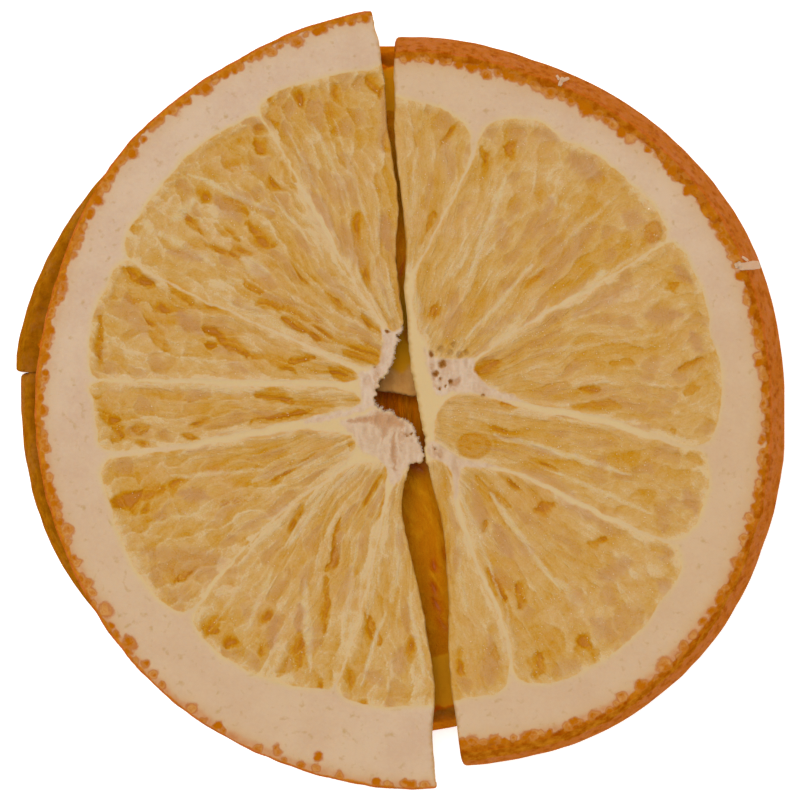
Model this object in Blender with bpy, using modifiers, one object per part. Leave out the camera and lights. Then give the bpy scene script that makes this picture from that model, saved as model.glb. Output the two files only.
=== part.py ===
"""A freeze-dried orange slice, as a round: two half-slices lie cut to cut, on two more turned a quarter turn.

Plan sizes are in millimetres, X to the right, Y away, seen from above. Each half-slice is one solid. Its rind runs
round an arc and its straight side is the knife cut. The flesh of each segment has dried a little below the pith,
on both faces, and the pith between two segments is left standing as a membrane.
"""

import math

import bmesh
import bpy

MM = 0.001

SLICE_THICKNESS = 5.0
LAYER_GAP = 0.3
FLESH_DEPTH_ABOVE = 0.5
FLESH_DEPTH_BELOW = 0.3
EDGE_ROUNDING = 0.35
CORNER_ROUNDINGS = 1
ARC_STEPS = 44
CUT_STEPS_PER_SPAN = 2

# The plain half-slices underneath: their segments are even wedges.
WEDGE_COUNT = 5
WEDGE_RIM_SHARE = 0.76
WEDGE_TIP_RADIUS = 3.4
MEMBRANE_HALF_WIDTH = 0.3
CORE_HOLLOW_RADIUS = 3.1
CORE_HOLLOW_DEPTH = 3.5
CORE_HOLLOW_STEPS = 20

RIND_COLOUR = (0.62, 0.27, 0.06, 1.0)
FLESH_COLOUR = (0.58, 0.33, 0.10, 1.0)

# facing is the way the rind looks from the core, in degrees. radii are evenly spaced lengths from the core to the
# widest outline, anticlockwise from a quarter turn before facing to a quarter turn after it. flank is how far the
# foot of the rind stands out past its upper edge, and is negative where it is undercut. cut runs on from the arc's
# end back to its start. Each segment is a closed line round its flesh.
UPPER_LEFT = {
    "name": "upper_left_half",
    "layer": 1,
    "core": (0.5, 0.0),
    "facing": 184.8,
    "radii": (37.3, 36.2, 35.9, 35.1, 35.25, 35.45, 36.1, 36.45, 37.1),
    "flank": -0.7,
    "cut": [
        (3.2, -32.0), (3.4, -27.5), (2.1, -20.0), (0.3, -11.0), (0.7, -7.0), (2.3, -5.6), (1.8, -3.0),
        (0.5, -1.5), (-2.3, -0.5), (-2.1, 2.0), (-0.3, 4.5), (0.2, 8.0), (0.2, 17.0), (-1.2, 27.0), (-2.4, 35.0),
    ],
    "segments": [
        [(-1.0, 7.3), (-4.4, 12.0), (-8.0, 18.9), (-11.6, 25.3), (-13.0, 27.6), (-11.7, 29.1), (-5.5, 30.9),
         (-0.6, 31.4), (0.8, 18.0), (0.9, 11.0), (0.3, 7.4)],
        [(-2.2, 3.2), (-7.4, 4.9), (-14.5, 8.2), (-21.5, 11.2), (-26.3, 13.9), (-25.9, 15.9), (-22.3, 21.0),
         (-17.0, 25.4), (-13.1, 27.1), (-10.4, 21.9), (-6.8, 15.0), (-1.7, 6.4)],
        [(-3.9, 1.9), (-11.0, 1.8), (-22.0, 2.2), (-28.9, 2.2), (-29.3, 5.0), (-27.7, 11.0), (-26.2, 13.2),
         (-21.4, 10.6), (-14.5, 7.5), (-7.4, 4.2)],
        [(-3.9, -0.3), (-10.0, -2.1), (-19.0, -3.7), (-27.9, -4.4), (-29.1, 0.2), (-28.9, 1.7), (-18.0, 1.4),
         (-7.0, 0.9)],
        [(-4.2, -3.6), (-7.0, -7.2), (-13.0, -12.0), (-18.2, -17.2), (-19.6, -20.3), (-21.8, -19.7),
         (-25.8, -14.4), (-27.9, -7.4), (-28.1, -5.2), (-19.0, -4.3), (-9.0, -2.8)],
        [(-2.4, -5.7), (-1.3, -6.4), (-2.2, -12.5), (-4.0, -20.0), (-6.7, -27.6), (-9.8, -27.4), (-16.0, -24.6),
         (-19.6, -20.8), (-15.6, -15.3), (-9.4, -10.0), (-4.2, -6.2)],
        [(-0.1, -7.3), (1.6, -7.4), (2.8, -18.0), (4.4, -24.0), (4.4, -28.6), (-1.6, -29.0), (-6.1, -27.6),
         (-4.8, -24.0), (-2.3, -15.4), (-0.6, -9.0)],
    ],
}
UPPER_RIGHT = {
    "name": "upper_right_half",
    "layer": 1,
    "core": (2.7, -0.1),
    "facing": 5.3,
    "radii": (34.7, 35.5, 35.4, 34.5, 33.95, 34.3, 34.15, 34.05, 34.8),
    "flank": 1.2,
    "cut": [
        (-0.5, 31.0), (-0.4, 25.0), (0.7, 14.0), (0.5, 10.0), (1.1, 4.0), (2.1, -2.0), (2.4, -5.2),
        (4.1, -12.0), (4.7, -20.0), (5.4, -30.0),
    ],
    "segments": [
        [(0.9, 12.4), (1.9, 13.6), (4.6, 19.0), (6.3, 22.2), (7.0, 26.0), (5.0, 27.4), (2.2, 28.7), (-1.4, 28.6),
         (-1.4, 24.0), (-0.6, 18.0)],
        [(4.2, 3.4), (6.0, 3.7), (11.5, 7.4), (19.5, 12.2), (25.7, 15.4), (24.6, 18.2), (18.8, 23.2),
         (13.2, 26.6), (7.7, 26.1), (7.5, 23.6), (4.4, 17.4), (1.7, 10.5), (2.2, 5.4)],
        [(6.6, 2.9), (7.4, 1.9), (12.5, -0.2), (22.0, -2.1), (29.2, -4.5), (30.9, -0.5), (30.6, 4.8),
         (29.0, 9.8), (27.7, 13.4), (25.4, 15.0), (20.0, 11.4), (11.5, 6.5)],
        [(3.2, -3.4), (5.2, -5.4), (12.0, -6.9), (20.0, -10.7), (26.6, -13.4), (28.4, -12.4), (29.8, -7.0),
         (29.3, -4.9), (23.0, -3.3), (13.0, -1.2), (6.5, 0.4), (3.8, -0.6)],
        [(5.7, -6.6), (6.2, -10.5), (8.9, -17.0), (10.9, -22.8), (11.2, -27.0), (15.5, -26.7), (22.2, -22.6),
         (25.8, -18.8), (27.2, -16.0), (26.2, -13.8), (19.0, -11.3), (12.0, -7.9)],
        [(3.4, -5.6), (2.6, -8.0), (3.4, -22.0), (3.6, -28.2), (9.6, -28.1), (10.4, -25.6), (7.8, -17.2),
         (5.4, -11.0), (4.7, -6.2)],
    ],
}
LOWER_BACK = {
    "name": "lower_back_half",
    "layer": 0,
    "core": (-1.4, 2.75),
    "facing": 90.0,
    "radii": (35.2, 33.0, 31.6, 31.05, 31.6, 33.0, 35.2),
    "flank": 0.5,
    "cut": [(-31.0, 2.7), (-12.0, 2.95), (-3.0, 2.6), (1.0, 2.7), (8.0, 2.6), (20.0, 2.85), (29.0, 2.7)],
}
LOWER_FRONT = {
    "name": "lower_front_half",
    "layer": 0,
    "core": (-2.3, 2.2),
    "facing": 270.0,
    "radii": (33.7, 34.7, 34.4, 34.1, 34.0, 34.0, 33.8),
    "flank": 0.6,
    "cut": [(26.0, 1.9), (14.0, 2.2), (3.0, 1.9), (-6.0, 2.0), (-18.0, 2.25), (-30.0, 2.0)],
    "core_hollow": (0.6, -1.3),
}
HALVES = [UPPER_LEFT, UPPER_RIGHT, LOWER_BACK, LOWER_FRONT]


def smooth_value(values, position):
    """The value at a fractional position along evenly spaced values, by a Catmull-Rom curve."""
    span = min(int(position), len(values) - 2)
    t = position - span
    a, b, c, d = (values[min(max(span + k, 0), len(values) - 1)] for k in (-1, 0, 1, 2))
    return b + 0.5 * t * (c - a + t * (2 * a - 5 * b + 4 * c - d + t * (3 * (b - c) + d - a)))


def polar(centre, radius, degrees):
    """The plan point at this distance and direction from a centre."""
    turn = math.radians(degrees)
    return centre[0] + radius * math.cos(turn), centre[1] + radius * math.sin(turn)


def radius_at(half, share):
    """Length from core to widest outline at a share, 0 to 1, of the way round the arc."""
    return smooth_value(half["radii"], share * (len(half["radii"]) - 1))


def direction_at(half, share):
    """Compass direction from the core at a share of the way round the arc."""
    return half["facing"] - 90 + 180 * share


def arc_outline(half):
    """The rind's line round the arc."""
    shares = [i / ARC_STEPS for i in range(ARC_STEPS + 1)]
    return [polar(half["core"], radius_at(half, s), direction_at(half, s)) for s in shares]


def cut_outline(half):
    """The knife cut, as a smooth line through its points."""
    spans = len(half["cut"]) - 1
    positions = [i / CUT_STEPS_PER_SPAN for i in range(spans * CUT_STEPS_PER_SPAN + 1)]
    across, away = zip(*half["cut"])
    return [(smooth_value(across, p), smooth_value(away, p)) for p in positions]


def rounded(points):
    """A closed outline with its corners cut off."""
    for _ in range(CORNER_ROUNDINGS):
        pairs = list(zip(points, points[1:] + points[:1]))
        points = [
            (a[0] * near + b[0] * (1 - near), a[1] * near + b[1] * (1 - near))
            for a, b in pairs
            for near in (0.75, 0.25)
        ]
    return points


def wedge_segments(half):
    """Even segments for a half-slice whose own are out of sight: wedges from near the core to the pith."""
    outlines = []
    for i in range(WEDGE_COUNT):
        shares = [(i + part / 4) / WEDGE_COUNT for part in range(5)]
        rim = []
        for share, side in zip(shares, (1, 0, 0, 0, -1)):
            reach = radius_at(half, share) * WEDGE_RIM_SHARE
            inset = math.degrees(MEMBRANE_HALF_WIDTH / reach) * side
            rim.append(polar(half["core"], reach, direction_at(half, share) + inset))
        outlines.append([polar(half["core"], WEDGE_TIP_RADIUS, direction_at(half, shares[2])), *rim])
    return outlines


def linked(obj, collection):
    collection.objects.link(obj)
    return obj


def plate_from_outline(name, outline, bottom, top, collection):
    """A flat plate of this outline between two heights, made as an extruded curve and kept as a closed mesh."""
    curve = bpy.data.curves.new(name + "_outline", "CURVE")
    curve.dimensions = "2D"
    curve.fill_mode = "BOTH"
    curve.extrude = (top - bottom) / 2 * MM
    spline = curve.splines.new("POLY")
    spline.points.add(len(outline) - 1)
    for point, (x, y) in zip(spline.points, outline):
        point.co = (x * MM, y * MM, 0, 1)
    spline.use_cyclic_u = True
    drawn = linked(bpy.data.objects.new(name + "_drawn", curve), collection)
    drawn.location.z = (top + bottom) / 2 * MM
    bpy.context.view_layer.update()
    graph = bpy.context.evaluated_depsgraph_get()
    mesh = bpy.data.meshes.new_from_object(drawn.evaluated_get(graph))
    mesh.transform(drawn.matrix_world)
    bpy.data.objects.remove(drawn)
    welded = bmesh.new()
    welded.from_mesh(mesh)
    bmesh.ops.remove_doubles(welded, verts=welded.verts, dist=0.01 * MM)
    bmesh.ops.recalc_face_normals(welded, faces=welded.faces)
    welded.to_mesh(mesh)
    welded.free()
    return linked(bpy.data.objects.new(name, mesh), collection)


def splay_rind(obj, half, bottom):
    """Draws in the upper edge of the rind, or its foot where the flank is undercut, along the arc only."""
    facing = math.radians(half["facing"])
    middle = (bottom + SLICE_THICKNESS / 2) * MM
    for vertex in obj.data.vertices:
        upper = vertex.co.z > middle
        if upper != (half["flank"] > 0):
            continue
        across, away = vertex.co.x - half["core"][0] * MM, vertex.co.y - half["core"][1] * MM
        reach = math.hypot(across, away)
        toward_rind = (across * math.cos(facing) + away * math.sin(facing)) / reach
        if reach < 0.8 * min(half["radii"]) * MM:
            continue
        pull = abs(half["flank"]) * MM * min(1.0, max(0.0, toward_rind * 6)) / reach
        vertex.co.x -= across * pull
        vertex.co.y -= away * pull


def cutter_from_outlines(name, outlines, bottom, top, collection):
    """One hidden cutter that holds a plate for each outline."""
    plates = [plate_from_outline(f"{name}_{i}", o, bottom, top, collection) for i, o in enumerate(outlines)]
    joined = bmesh.new()
    for plate in plates:
        joined.from_mesh(plate.data)
        bpy.data.objects.remove(plate)
    mesh = bpy.data.meshes.new(name)
    joined.to_mesh(mesh)
    joined.free()
    cutter = linked(bpy.data.objects.new(name, mesh), collection)
    cutter.hide_render = True
    cutter.display_type = "WIRE"
    return cutter


def cut_with(obj, cutter):
    """Takes the cutter's shape away from the solid."""
    boolean = obj.modifiers.new(cutter.name, "BOOLEAN")
    boolean.operation = "DIFFERENCE"
    boolean.object = cutter


def core_hollow_outline(half):
    """The round hollow that the drawn-back core leaves at the cut."""
    step = 360 / CORE_HOLLOW_STEPS
    return [polar(half["core_hollow"], CORE_HOLLOW_RADIUS, i * step) for i in range(CORE_HOLLOW_STEPS)]


def make_half(half, parts, cutters, material):
    """One half-slice: a plate with a sloping rind and rounded edges, with its segments sunk into both faces."""
    bottom = half["layer"] * (SLICE_THICKNESS + LAYER_GAP)
    top = bottom + SLICE_THICKNESS
    outline = rounded(arc_outline(half) + cut_outline(half))
    obj = plate_from_outline(half["name"], outline, bottom, top, parts)
    splay_rind(obj, half, bottom)
    bevel = obj.modifiers.new("soft_edges", "BEVEL")
    bevel.width = EDGE_ROUNDING * MM
    bevel.segments = 1
    bevel.limit_method = "ANGLE"
    bevel.angle_limit = math.radians(50)
    segments = half.get("segments") or wedge_segments(half)
    pockets = [rounded(s) for s in segments]
    for face, low, high in (
        ("above", top - FLESH_DEPTH_ABOVE, top + 1),
        ("below", bottom - 1, bottom + FLESH_DEPTH_BELOW),
    ):
        cut_with(obj, cutter_from_outlines(f"{half['name']}_flesh_{face}", pockets, low, high, cutters))
    if "core_hollow" in half:
        outlines = [core_hollow_outline(half)]
        name = half["name"] + "_core_hollow"
        cut_with(obj, cutter_from_outlines(name, outlines, top - CORE_HOLLOW_DEPTH, top + 1, cutters))
    obj.data.materials.append(material)
    return obj


def make_material(name, colour, roughness):
    material = bpy.data.materials.new(name)
    material.use_nodes = True
    shader = material.node_tree.nodes["Principled BSDF"]
    shader.inputs["Base Color"].default_value = colour
    shader.inputs["Roughness"].default_value = roughness
    shader.inputs["Metallic"].default_value = 0.0
    return material


def make_collection(name):
    collection = bpy.data.collections.new(name)
    bpy.context.scene.collection.children.link(collection)
    return collection


def clear_scene():
    for obj in list(bpy.data.objects):
        bpy.data.objects.remove(obj)


def main():
    clear_scene()
    parts = make_collection("freeze_dried_orange_slice")
    cutters = make_collection("cutters")
    above = make_material("dried_orange_above", FLESH_COLOUR, 0.6)
    below = make_material("dried_orange_below", RIND_COLOUR, 0.65)
    for half in HALVES:
        make_half(half, parts, cutters, above if half["layer"] else below)


main()
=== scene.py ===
# %% [markdown]
# # A freeze-dried orange slice, cut into half-slices
#
# The real thing is a stack of four half-slices of orange, dried hard in a freeze-drier. Two lie on top, cut
# side to cut side, and two lie under them. Drying keeps the size of the fruit but empties it, so every
# half-slice has the same parts: an orange-brown peel, a ring of oil glands, spongy white pith, thin
# membranes, and segments full of juice sacs that have dried to pale gold and amber shells.
#
# The CAD frame already has the four solids in their places. A slice could be dressed with a flat painted
# material, but then nothing would catch the light. So this lesson rebuilds each half-slice as one dense
# closed mesh whose surface really has sacs, hollows and ridges, and it lets the same numbers that shape the
# surface colour it too.

# %% Load the CAD frame
import math

import bmesh
import bpy
import numpy as np
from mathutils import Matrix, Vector, geometry


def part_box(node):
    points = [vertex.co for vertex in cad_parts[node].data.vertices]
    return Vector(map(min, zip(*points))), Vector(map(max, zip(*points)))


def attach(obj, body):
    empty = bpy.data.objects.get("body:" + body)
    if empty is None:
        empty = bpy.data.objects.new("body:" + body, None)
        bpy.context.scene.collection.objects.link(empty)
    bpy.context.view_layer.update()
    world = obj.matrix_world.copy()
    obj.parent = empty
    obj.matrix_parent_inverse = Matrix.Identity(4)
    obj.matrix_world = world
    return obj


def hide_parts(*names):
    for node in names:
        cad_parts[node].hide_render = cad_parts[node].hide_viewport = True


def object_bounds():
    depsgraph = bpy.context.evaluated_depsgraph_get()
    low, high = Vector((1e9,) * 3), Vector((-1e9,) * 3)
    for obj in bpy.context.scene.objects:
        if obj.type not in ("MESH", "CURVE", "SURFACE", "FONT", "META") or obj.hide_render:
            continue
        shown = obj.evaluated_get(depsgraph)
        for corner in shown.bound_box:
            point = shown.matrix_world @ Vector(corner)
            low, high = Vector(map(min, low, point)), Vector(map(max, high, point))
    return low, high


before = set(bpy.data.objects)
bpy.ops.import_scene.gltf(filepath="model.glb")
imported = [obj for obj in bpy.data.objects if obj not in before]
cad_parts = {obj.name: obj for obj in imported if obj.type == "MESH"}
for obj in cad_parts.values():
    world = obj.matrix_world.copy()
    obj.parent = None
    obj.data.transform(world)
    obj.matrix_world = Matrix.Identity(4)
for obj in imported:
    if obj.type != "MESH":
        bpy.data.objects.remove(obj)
cad_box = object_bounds()
print("CAD nodes:", sorted(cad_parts))

# %% [markdown]
# ## Sizes that all half-slices share
#
# Plan sizes are in millimetres, with X to the right and Y away from the reader, as in the CAD. They become
# metres only when a mesh is written. The spacings set how fine a mesh is. Flesh gets points 0.163 mm apart,
# which is enough to show a fold a third of a millimetre wide. Plain pith gets fewer, and so does a face
# that other slices hide, so that each half-slice stays under 200,000 triangles.

# %% Shared sizes
MM = 0.001
FINE, COARSE = 0.163, 0.47
TOP_SPACING = {"upper": FINE, "lower": 0.25}
FOOT_SPACING = {"upper": COARSE, "lower": 0.175}
GLAND_SPACING_SHARE = 1.3
PITH_SPACING_SHARE = 2.2
OUTLINE_STEP = 0.22
CUT_STEP = 0.15
FLANK_ROWS = 15
EDGE_SOFTNESS = 0.24
PITH_RELIEF = 0.05
SEGMENT_SINK = 0.22
BOX_CLEARANCE = 0.002

# %% [markdown]
# ## The four half-slices as a maker would note them down
#
# Each half-slice is described by where its core is, which way its peel faces, how long the radius is as it
# swings round, and the line of the knife cut. Then come its segments, each a closed line round the flesh,
# and the point that its juice sacs grow from. Drawing real numbers for each fruit costs more lines than a
# perfect wheel of equal wedges, but a real orange is never even, and the eye knows it.
#
# The rest are strengths. `flank` is how far the peel leans out, from its upper edge to its foot.
# `wall_strength`, `lap` and `amber_share` say how clear the sacs' walls are, how much one sac slopes under
# the next, and how many have dried open. `gland_band`, `skin_starts`, `blush` and `warmth` are given at
# even steps round the peel: the width of the coloured band, how far down the flank the outer skin begins,
# and how tan and how yellow the pith is. `fray` is how far the torn core's teeth stand out.

# %% Design of the upper half-slices
UPPER_LEFT = {
    "node": "upper_left_half",
    "slot": "upper_half_slice",
    "layer": "upper",
    "core": (0.5, 0.0),
    "facing": 184.8,
    "radii": (37.3, 36.2, 35.9, 35.1, 35.25, 35.45, 36.1, 36.45, 37.1),
    "flank": -0.35,
    "cut": [
        (3.55, -36.2), (3.2, -32), (3.3, -30), (3.4, -27.3), (3, -24), (2.3, -20), (1.2, -15), (0.35, -11),
        (0.3, -9), (0.75, -7), (1.1, -6.05), (1.9, -5.85), (2.42, -5.65), (2.4, -5.2), (2.2, -4.4),
        (1.8, -3.3), (0.9, -2), (-0.5, -1.1), (-1.6, -0.85), (-2.2, -0.2), (-2.1, 1.2), (-1, 2.8),
        (-0.35, 4.2), (0, 6), (0.45, 7.3), (0.15, 9.6), (-0.15, 12.5), (-0.3, 15.3), (-0.05, 17.5),
        (-0.15, 20), (-0.65, 23.1), (-1.1, 26.7), (-1.32, 30), (-1.65, 32.4), (-2.35, 36),
    ],
    "segments": [
        [(-1, 7), (-4.4, 12), (-8, 18.9), (-11.6, 25), (-13, 27.4), (-11.9, 28.9), (-9.5, 29.9),
         (-5.5, 30.9), (-3, 31.3), (0.6, 31.2), (1.6, 18), (1.5, 11), (0.2, 7.2)],
        [(-2.2, 3.3), (-7.4, 4.9), (-14.5, 8.1), (-21.5, 11.1), (-25.4, 13.5), (-25.7, 15.6), (-24.2, 18),
         (-22, 20.8), (-20, 23.2), (-16.6, 25.5), (-14, 26.8), (-12.7, 26), (-10.2, 21.7), (-6.8, 15),
         (-1.7, 6.6)],
        [(-3.9, 2.2), (-11, 2.2), (-22, 2.3), (-28.4, 2.3), (-29.2, 4.5), (-28.9, 7.6), (-27.8, 10.6),
         (-26.2, 13.1), (-24.6, 12.7), (-21.2, 10.6), (-14.5, 7.5), (-7.4, 4.2)],
        [(-4, -0.2), (-9, -1.5), (-14, -2.5), (-20, -3.7), (-27.4, -4.5), (-28.4, -3), (-29, 0.2),
         (-28.4, 1.6), (-20, 1.5), (-13, 1.2), (-6, 1.1)],
        [(-4.2, -3.8), (-6.4, -6.9), (-9.6, -9.1), (-13.2, -12.2), (-17.6, -16.7), (-19.9, -19.8),
         (-22.3, -19), (-24.3, -16.6), (-26.3, -13.2), (-27.4, -9.4), (-28, -6.4), (-26, -5.4), (-19, -4.5),
         (-9, -2.9)],
        [(-2.5, -6), (-1.4, -6.3), (-1.5, -9), (-2.8, -15.4), (-4.6, -22.8), (-6.2, -26.6), (-7.6, -27.2),
         (-10.5, -26.9), (-14, -25.6), (-17.6, -23.3), (-19.2, -21.3), (-18.8, -19.6), (-15.8, -15.6),
         (-12.2, -11.9), (-9, -9.3), (-5, -6.7)],
        [(0.1, -7.7), (1.6, -7.4), (2.8, -18), (5, -24), (5.2, -28.5), (2, -28.7), (-1, -28.9), (-4, -28.4),
         (-5.6, -27.4), (-5, -25), (-3.2, -19), (-1.7, -13), (-0.7, -9.2)],
    ],
    "apexes": [(-0.3, 4.5), (0.5, 4.2), (-1.5, 1.2), (-1.0, -0.1), (-1.5, -2.2), (-1.2, -3.5), (0.1, -3.8)],
    "wall_strength": 1.0,
    "lap": 0.9,
    "amber_share": 0.07,
    "gland_band": (0.55, 0.6, 0.6, 0.62, 0.6, 0.4, 0.22, 0.2, 0.3),
    "blush": (0.2, 0.1, 0.1, 0.2, 0.4, 0.7, 1, 0.9, 0.5),
    "warmth": (0.1, 0, 0.05, 0.05, 0.15, 0.35, 0.35, 0.35, 0.2),
    "peel_tone": 0.25,
    "fray": 0.32,
    "seed": 11,
}
UPPER_RIGHT = {
    "node": "upper_right_half",
    "slot": "upper_half_slice",
    "layer": "upper",
    "core": (2.7, -0.1),
    "facing": 5.3,
    "radii": (34.7, 35.5, 35.4, 34.5, 33.95, 34.3, 34.15, 34.05, 34.8),
    "flank": 1.2,
    "cut": [
        (-0.45, 32.9), (-0.5, 31.6), (-0.45, 28.5), (-0.4, 25), (0.05, 20.5), (0.45, 17), (0.65, 14.5),
        (0.55, 12), (0.45, 10.5), (0.8, 8), (0.85, 5.8), (1.2, 2.9), (1.7, 0.4), (2.05, -1.8), (2.4, -3.7),
        (2.35, -5), (2.9, -7), (3.5, -9.5), (4.15, -12), (4.5, -16), (4.7, -20), (4.7, -23.5), (5, -27.5),
        (5.45, -30.3), (5.75, -32.9),
    ],
    "segments": [
        [(1.1, 12.6), (2.3, 14.2), (4.2, 18), (5.9, 21.4), (6.7, 24.3), (6.3, 25.9), (5.2, 27), (3.2, 27.9),
         (0.8, 28.5), (-1.6, 28.6), (-1.8, 24), (-1.2, 18), (-0.4, 13)],
        [(4.4, 3.7), (6.6, 4), (11.5, 7.2), (18, 11), (24.2, 14.5), (25.2, 15.8), (24.4, 18.1),
         (21.6, 20.8), (18.6, 23.3), (15.6, 24.6), (13.6, 26.2), (10.8, 26.6), (8.7, 26), (7.7, 24.7),
         (6.9, 22.2), (4.6, 17.6), (2.2, 13.2), (1.5, 9.8), (2.2, 6.4)],
        [(6.8, 2.9), (8.3, 1.5), (12.5, 0), (20, -1.5), (26, -3.5), (28.6, -4.1), (29.9, -2.8), (30.4, 0),
         (30.4, 3.2), (29.4, 6.7), (29, 9.2), (28, 12), (26.6, 14.4), (25.3, 14.7), (22, 12.8), (17, 9.6),
         (11, 6.3)],
        [(3.4, -3.2), (5, -5), (8.5, -5.7), (13, -7.2), (19, -10.2), (24.5, -12.7), (26.4, -13),
         (27.9, -11.6), (29, -9), (29.2, -6.6), (28.4, -4.9), (26, -4.4), (20, -2.6), (13, -1.2),
         (7.5, 0.5), (4.6, 0.1)],
        [(5.9, -6.6), (6, -9.5), (7.4, -14.4), (9.6, -19.5), (10.7, -23), (11.2, -25.8), (12.8, -26.7),
         (16, -26.1), (19.8, -24.1), (22.8, -21.6), (25.2, -18.4), (26.5, -16.2), (26.2, -14.2),
         (24.6, -13.4), (19, -11.2), (12, -7.5), (8, -6.5)],
        [(3.2, -5.8), (2.2, -8), (3.4, -22), (3.9, -28), (7, -27.9), (9.2, -27.5), (10.2, -26.2),
         (10.1, -23.2), (8.9, -19.6), (6.9, -15), (5.3, -10.6), (4.7, -6.6)],
    ],
    "apexes": [(1.0, 8.0), (2.6, 2.0), (4.2, 0.6), (1.6, -2.2), (3.6, -3.4), (3.4, -2.5)],
    "wall_strength": 0.5,
    "lap": 0.5,
    "amber_share": 0.03,
    "gland_band": (0.75, 0.34, 0.38, 0.52, 0.66, 0.9, 1.05, 1.0, 0.75),
    "skin_starts": (0.6, 0.45, 0.3, 0.14, 0, 0, 0, 0.1, 0.1),
    "blush": (0.3, 0.9, 0.9, 0.5, 0.4, 0.2, 0.2, 0.2, 0.4),
    "warmth": (0.4, 0.4, 0.46, 0.46, 0.4, 0.16, 0.16, 0.2, 0.35),
    "peel_tone": -0.12,
    "fray": 0.12,
    "seed": 57,
}
print("upper segments:", len(UPPER_LEFT["segments"]), "left and", len(UPPER_RIGHT["segments"]), "right")

# %% [markdown]
# ## The lower half-slices
#
# Only slivers of these two show, but they are finished all over, because the stack can be turned round.
# Nobody can see where their segments lie, so they are laid out as even wedges by a small function. The
# front one has a notch where a piece of its middle broke away, filled with deep amber flesh that is painted
# shade for the dark hollow. Another pair of numbers says where their faces, seen through the slit between
# the upper halves, begin to get painted light and where it is at its fullest, in millimetres from the
# middle.

# %% Design of the lower half-slices
LOWER_BACK = {
    "node": "lower_back_half",
    "slot": "lower_half_slice",
    "layer": "lower",
    "core": (-1.4, 2.75),
    "facing": 90.0,
    "radii": (35.2, 33, 31.6, 31.05, 31.6, 33, 35.2),
    "flank": 0.5,
    "cut": [(-31, 2.7), (-12, 2.95), (-5, 2.6), (-3.4, 1.7), (-2.2, 1), (-0.4, 0.76), (1.4, 0.44),
            (3.2, 0.6), (4.6, 2), (8, 2.6), (20, 2.85), (29, 2.7)],
    "foot_line": 2.5,
    "core_shapes": [[(-4.2, 3.3), (-2.6, 2.7), (-1.2, 3.2), (0.2, 2.6), (1.4, 3.4), (3, 2.8), (4.4, 3.2),
                     (4.6, 0.4), (0, 0.2), (-4, 0.2)]],
    "wall_strength": 0.8,
    "lap": 0.5,
    "amber_share": 0.16,
    "gland_band": (1.5, 1.1, 1.5),
    "blush": (0.3, 0.2, 0.3),
    "warmth": (0.3, 0.3, 0.3),
    "peel_tone": -0.1,
    # The core gets less of the painted shade.
    "core_under_shade": 0.70,
    # Where the painted light in the slit begins and where it is full, in mm from the middle.
    "aired": (6.0, 15.0),
    "seed": 83,
}
LOWER_FRONT = {
    "node": "lower_front_half",
    "slot": "lower_half_slice",
    "layer": "lower",
    "core": (-2.3, 2.2),
    "facing": 270.0,
    "radii": (33.7, 34.7, 34.4, 34.1, 34, 34, 33.8),
    "flank": 0.6,
    "cut": [(26, 1.9), (14, 2.2), (6.4, 1.6), (4.6, -1.2), (3.2, -4), (2, -4.9), (0.8, -3.6),
            (-0.8, -1.6), (-2.4, -0.4), (-4.2, 0.6), (-5.6, 1.8), (-9, 2), (-18, 2.25), (-30, 2)],
    "foot_line": 1.7,
    "arc_starts_early": 0.95,
    # The front half gets the painted light in the slit only near its peel.
    "aired": (29.5, 31.0),
    "wedge_count": 4,
    "core_shapes": [[(-9.4, 1.8), (-8.6, 0.2), (-7, -0.2), (-6, 0.8), (-6.4, 2.2), (-8, 2.6)]],
    "notch": [(-5.5, 1.5), (-3.6, -1.6), (-1.5, -4.2), (1.6, -7), (4.8, -5.8), (6.4, -2), (7.4, 1.6),
              (0, 2.2)],
    "wall_strength": 0.8,
    "lap": 0.8,
    "amber_share": 0.16,
    "gland_band": (1.5, 1.1, 1.5),
    "blush": (0.3, 0.2, 0.3),
    "warmth": (0.3, 0.3, 0.3),
    "peel_tone": -0.1,
    "seed": 29,
}
WEDGE_COUNT = 5
WEDGE_RIM_SHARE = 0.79
WEDGE_TIP_RADIUS = 3.6
MEMBRANE_HALF_WIDTH = 0.3

# %% [markdown]
# ## Small drawing helpers
#
# A smooth value between a few given ones, a point at a distance and an angle, and a closed curve through a
# handful of points. NumPy does them for whole arrays at once, because a half-slice has about a hundred
# thousand points and a Python loop over them would take minutes.

# %% Drawing helpers
def smooth_along(values, positions):
    """Values at fractional positions along evenly spaced ones, by a Catmull-Rom curve."""
    values = np.asarray(values, float)
    positions = np.clip(positions, 0, len(values) - 1)
    span = np.minimum(np.floor(positions).astype(int), len(values) - 2)
    t = (positions - span).reshape(positions.shape + (1,) * (values.ndim - 1))
    a, b, c, d = (values[np.clip(span + k, 0, len(values) - 1)] for k in (-1, 0, 1, 2))
    return b + 0.5 * t * (c - a + t * (2 * a - 5 * b + 4 * c - d + t * (3 * (b - c) + d - a)))


def closed_curve(points, steps=5):
    """A closed smooth line through the points, with this many steps to each."""
    ring = np.array(points[-2:] + points + points[:3], float)
    positions = np.arange(2, 2 + len(points), 1 / steps)
    return smooth_along(ring, positions)


def evenly_spaced(line, step):
    """The same open line with its points a step apart."""
    lengths = np.r_[0, np.cumsum(np.hypot(*np.diff(line, axis=0).T))]
    wanted = np.linspace(0, lengths[-1], max(2, round(lengths[-1] / step)) + 1)
    return np.column_stack([np.interp(wanted, lengths, line[:, k]) for k in (0, 1)])


def ramp(values, low, high):
    """0 at low, 1 at high, and a smooth rise between them."""
    t = np.clip((values - low) / (high - low), 0, 1)
    return t * t * (3 - 2 * t)


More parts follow.
